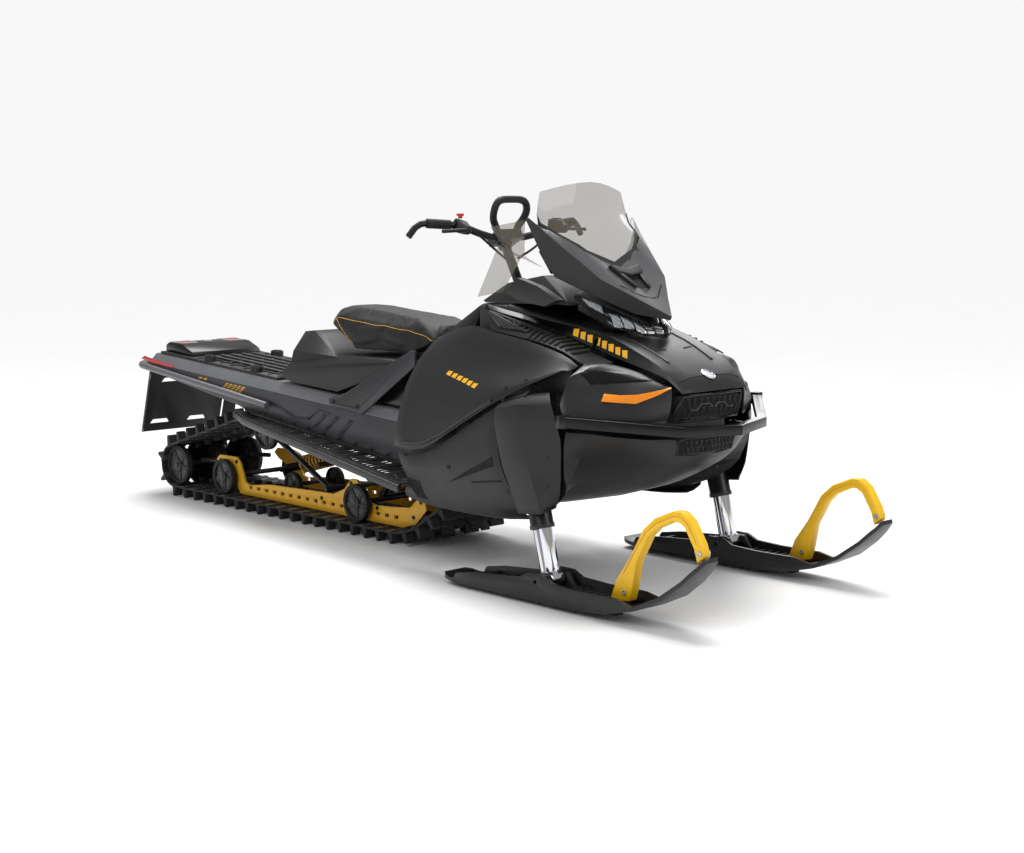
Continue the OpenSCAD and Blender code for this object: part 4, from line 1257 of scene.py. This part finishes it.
def deck_trim():
    """Anchor rings, cross ribs and the tail lamp's lenses on the rear deck."""
    slope = math.atan(0.0629)
    deck = (Matrix.Translation((-1.475, 0, (507 - (-1475 + 396) * 0.0629 + 0.5) * MM))
            @ Matrix.Rotation(slope, 4, "Y"))
    rings = []
    for x in (322, 636):
        for y in (-160, 160):
            rings.append(tube([(x + 20 * math.cos(t * math.pi / 8),
                                y + 20 * math.sin(t * math.pi / 8), 30.5)
                               for t in range(18)], 2.4, 8, resolution=1))
    made = join(rings)
    made.data.transform(deck)
    dress(made, "anchor_rings", "chassis", "black_metal", BUMPER)
    ribs = [box((8, 340, 4), (x, 0, 12), edge=1.2, segments=1)
            for x in (250, 400, 470, 560, 720, 780)]
    ribs += [box((500, 6, 5), (500, y, 12.5), edge=1.5, segments=1)
             for y in (-134, 132)]
    made = join(ribs)
    made.data.transform(deck)
    dress(soften(made, 40), "deck_ribs", "chassis", "black_plastic", NYLON)
    foot = narrow(box((188, 300, 12), (104, 0, 5), edge=0), 2, 1, (0.97, 0.98, 1))
    foot.data.transform(deck)
    dress(round_edges(foot, 1.5), "tail_lamp_foot", "chassis", "lamp_housing", NYLON)
    # lenses outlined in white round red, on the lamp housing's top
    lamp = skins["tail_light"]
    reds, lines = [], []
    for y in (-112, 112):
        reds.append(laid([(-1440, y - 34), (-1440, y + 34), (-1380, y + 26), (-1380, y - 26)],
                         lamp, 1.2, 1.8, (5, 4), "z", 0.5))
        starts = [(x, y + dy, 2000) for x, dy in ((-1448, -42), (-1448, 42), (-1370, 33),
                                                  (-1370, -33))]
        lines.append(ringed(trace(lamp, starts, (0, 0, -1), shift=(0, 0, 1.4)), 1.8, 6))
    trim(reds, "tail_lenses", "red_lens", RED)
    starts = [(-1412 + 15 * math.cos(t * math.pi / 6), 15 * math.sin(t * math.pi / 6), 2000)
              for t in range(14)]
    lines.append(tube(trace(lamp, starts, (0, 0, -1), shift=(0, 0, 1.2)), 1.6, 6,
                      resolution=1))
    trim(lines, "tail_outlines", "lamp_lens", WHITE_LINE)


deck_trim()


def flap_trim():
    """Ribs along the flap's edges and the two hangers above it."""
    flap = skins["snow_flap"]
    ribs = []
    for path in (((-170, 470), (-170, 262)), ((170, 470), (170, 262)),
                 ((-150, 390), (150, 390)), ((-150, 318), (150, 318))):
        starts = [(-3000, y, z) for y, z in between(path, 4) + [path[1]]]
        ribs.append(tube(trace(flap, starts, (1, 0, 0), shift=(-0.6, 0, 0)), 2.4, 6,
                         resolution=1))
    trim(ribs, "flap_ribs", "flap_rubber", FLAP)
    hangers = [tube([(-1545, y, 492), (-1530, y, 512), (-1500, y, 528)], 6, 8) for y in
               (-150, 150)]
    trim(hangers, "flap_hangers", "black_metal", STEEL)


flap_trim()


# ---- saddle --------------------------------------------------------------------------------

def make_saddle():
    """The padded saddle: cloth blown up a little over the block, then its seams."""
    pad = bare(frame["nodes"]["seat_cushion"])
    pad.parent = None
    pad.name = "saddle"
    merge_faces(pad, 1)
    round_edges(pad, 14, 3, 20)
    lo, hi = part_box("seat_cushion")
    centre = (lo + hi) / 2
    half = (hi - lo) / 2
    shrink = Vector([1 - 0.007 / h for h in half])
    for v in pad.data.vertices:
        v.co = centre + Vector([(v.co[i] - centre[i]) * shrink[i] for i in range(3)])
    modify(pad, "REMESH", mode="VOXEL", voxel_size=0.0055)
    start = [v.co.copy() for v in pad.data.vertices]
    cap, foot_cap = 0.010, 0.0005
    cloth = pad.modifiers.new("cloth", "CLOTH")
    cloth.settings.use_pressure = True
    cloth.settings.uniform_pressure_force = 4
    cloth.settings.quality = 4
    cloth.settings.tension_stiffness = 20
    cloth.settings.bending_stiffness = 1.5
    cloth.settings.effector_weights.gravity = 0
    cloth.point_cache.frame_start, cloth.point_cache.frame_end = 1, 20
    for f in range(1, 21):
        bpy.context.scene.frame_set(f)
    only(pad)
    bpy.ops.object.modifier_apply(modifier=cloth.name)
    bpy.context.scene.frame_set(1)
    for v, old in zip(pad.data.vertices, start):
        low = old.z < 0.668 + max(0, old.x + 0.02) * 0.25
        limit = foot_cap if low else cap
        move = v.co - old
        if move.length > limit:
            v.co = old + move * (limit / move.length)
        v.co.z = max(v.co.z, lo.z)
    modify(pad, "SMOOTH", factor=0.5, iterations=6)
    modify(pad, "SUBSURF", levels=1, render_levels=1)
    only(pad)
    bpy.ops.object.shade_smooth()
    dress(pad, "saddle", "chassis", "seat_cover", VINYL)
    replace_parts(pad, "seat_cushion")
    # yellow piping along the seams between the top and the side covers
    lines = []
    for sign in (-1, 1):
        for path in (((-434, 740), (-398, 783), (-300, 783), (-120, 774), (20, 756),
                      (100, 736), (150, 712), (146, 700)),
                     ((-398, 783), (-372, 745), (-330, 700), (-290, 666))):
            pts = []
            for x, z in between(path, 5):
                near = Vector((x * MM, sign * 0.150, z * MM))
                _, where, normal, _ = pad.closest_point_on_mesh(near)
                pts.append(((where + normal * 0.0004) / MM)[:])
            lines.append(tube(pts, 0.9, 6, resolution=2))
    trim(lines, "saddle_piping", "yellow_loop", FILM)


make_saddle()


# ---- studio ------------------------------------------------------------------------------------

def studio():
    """White floor and a soft, bright studio."""
    bpy.ops.mesh.primitive_plane_add(size=600, location=(0, 0, -0.0005))
    floor = bpy.context.object
    floor.name = "floor"
    mat = bpy.data.materials.new("matt_white_paper")
    mat.use_nodes = True
    tree = mat.node_tree
    shader = tree.nodes["Principled BSDF"]
    here = add(tree, "ShaderNodeTexCoord").outputs["Object"]
    noise = add(tree, "ShaderNodeTexNoise", {"Vector": here, "Scale": 3.0, "Detail": 2.0})
    tone = add(tree, "ShaderNodeMapRange", {"Value": noise.outputs["Fac"], "To Min": 0.88,
                                            "To Max": 0.92})
    tree.links.new(tone.outputs[0], shader.inputs["Base Color"])
    shader.inputs["Roughness"].default_value = 0.85
    shader.inputs["Specular IOR Level"].default_value = 0.15
    floor.data.materials.append(mat)
    world = bpy.data.worlds.new("studio_world")
    bpy.context.scene.world = world
    world.use_nodes = True
    back = world.node_tree.nodes.get("Background") or add(world.node_tree,
                                                          "ShaderNodeBackground")
    # the sheet behind shows white, while the light it throws is kept low for contrast
    seen = add(world.node_tree, "ShaderNodeLightPath")
    power = add(world.node_tree, "ShaderNodeMapRange",
                {"Value": seen.outputs["Is Camera Ray"], "To Min": 0.4, "To Max": 0.94})
    back.inputs["Color"].default_value = (1, 1, 1, 1)
    world.node_tree.links.new(power.outputs[0], back.inputs["Strength"])
    bpy.ops.object.light_add(type="SUN", location=(0, 0, 6))
    high = bpy.context.object
    high.name = "high_soft_light"
    high.data.energy = 2.3
    high.data.angle = math.radians(34)
    high.rotation_euler = Vector((0.35, -0.35, -1)).to_track_quat("-Z", "Y").to_euler()
    for name, at, size, power in (("side_box", (1.2, -4.2, 3.4), 2.6, 60),
                                  ("front_box", (4.6, 0.9, 2.6), 2.0, 45),
                                  ("top_box", (-0.6, 0.3, 4.2), 2.4, 60),
                                  ("far_box", (-1.5, 3.8, 2.4), 2.4, 50)):
        bpy.ops.object.light_add(type="AREA", location=at)
        lamp = bpy.context.object
        lamp.name = name
        lamp.data.size = size
        lamp.data.energy = power
        reach = Vector((0.2, 0, 0.5)) - Vector(at)
        lamp.rotation_euler = reach.to_track_quat("-Z", "Y").to_euler()
    bpy.context.scene.view_settings.view_transform = "Standard"


studio()
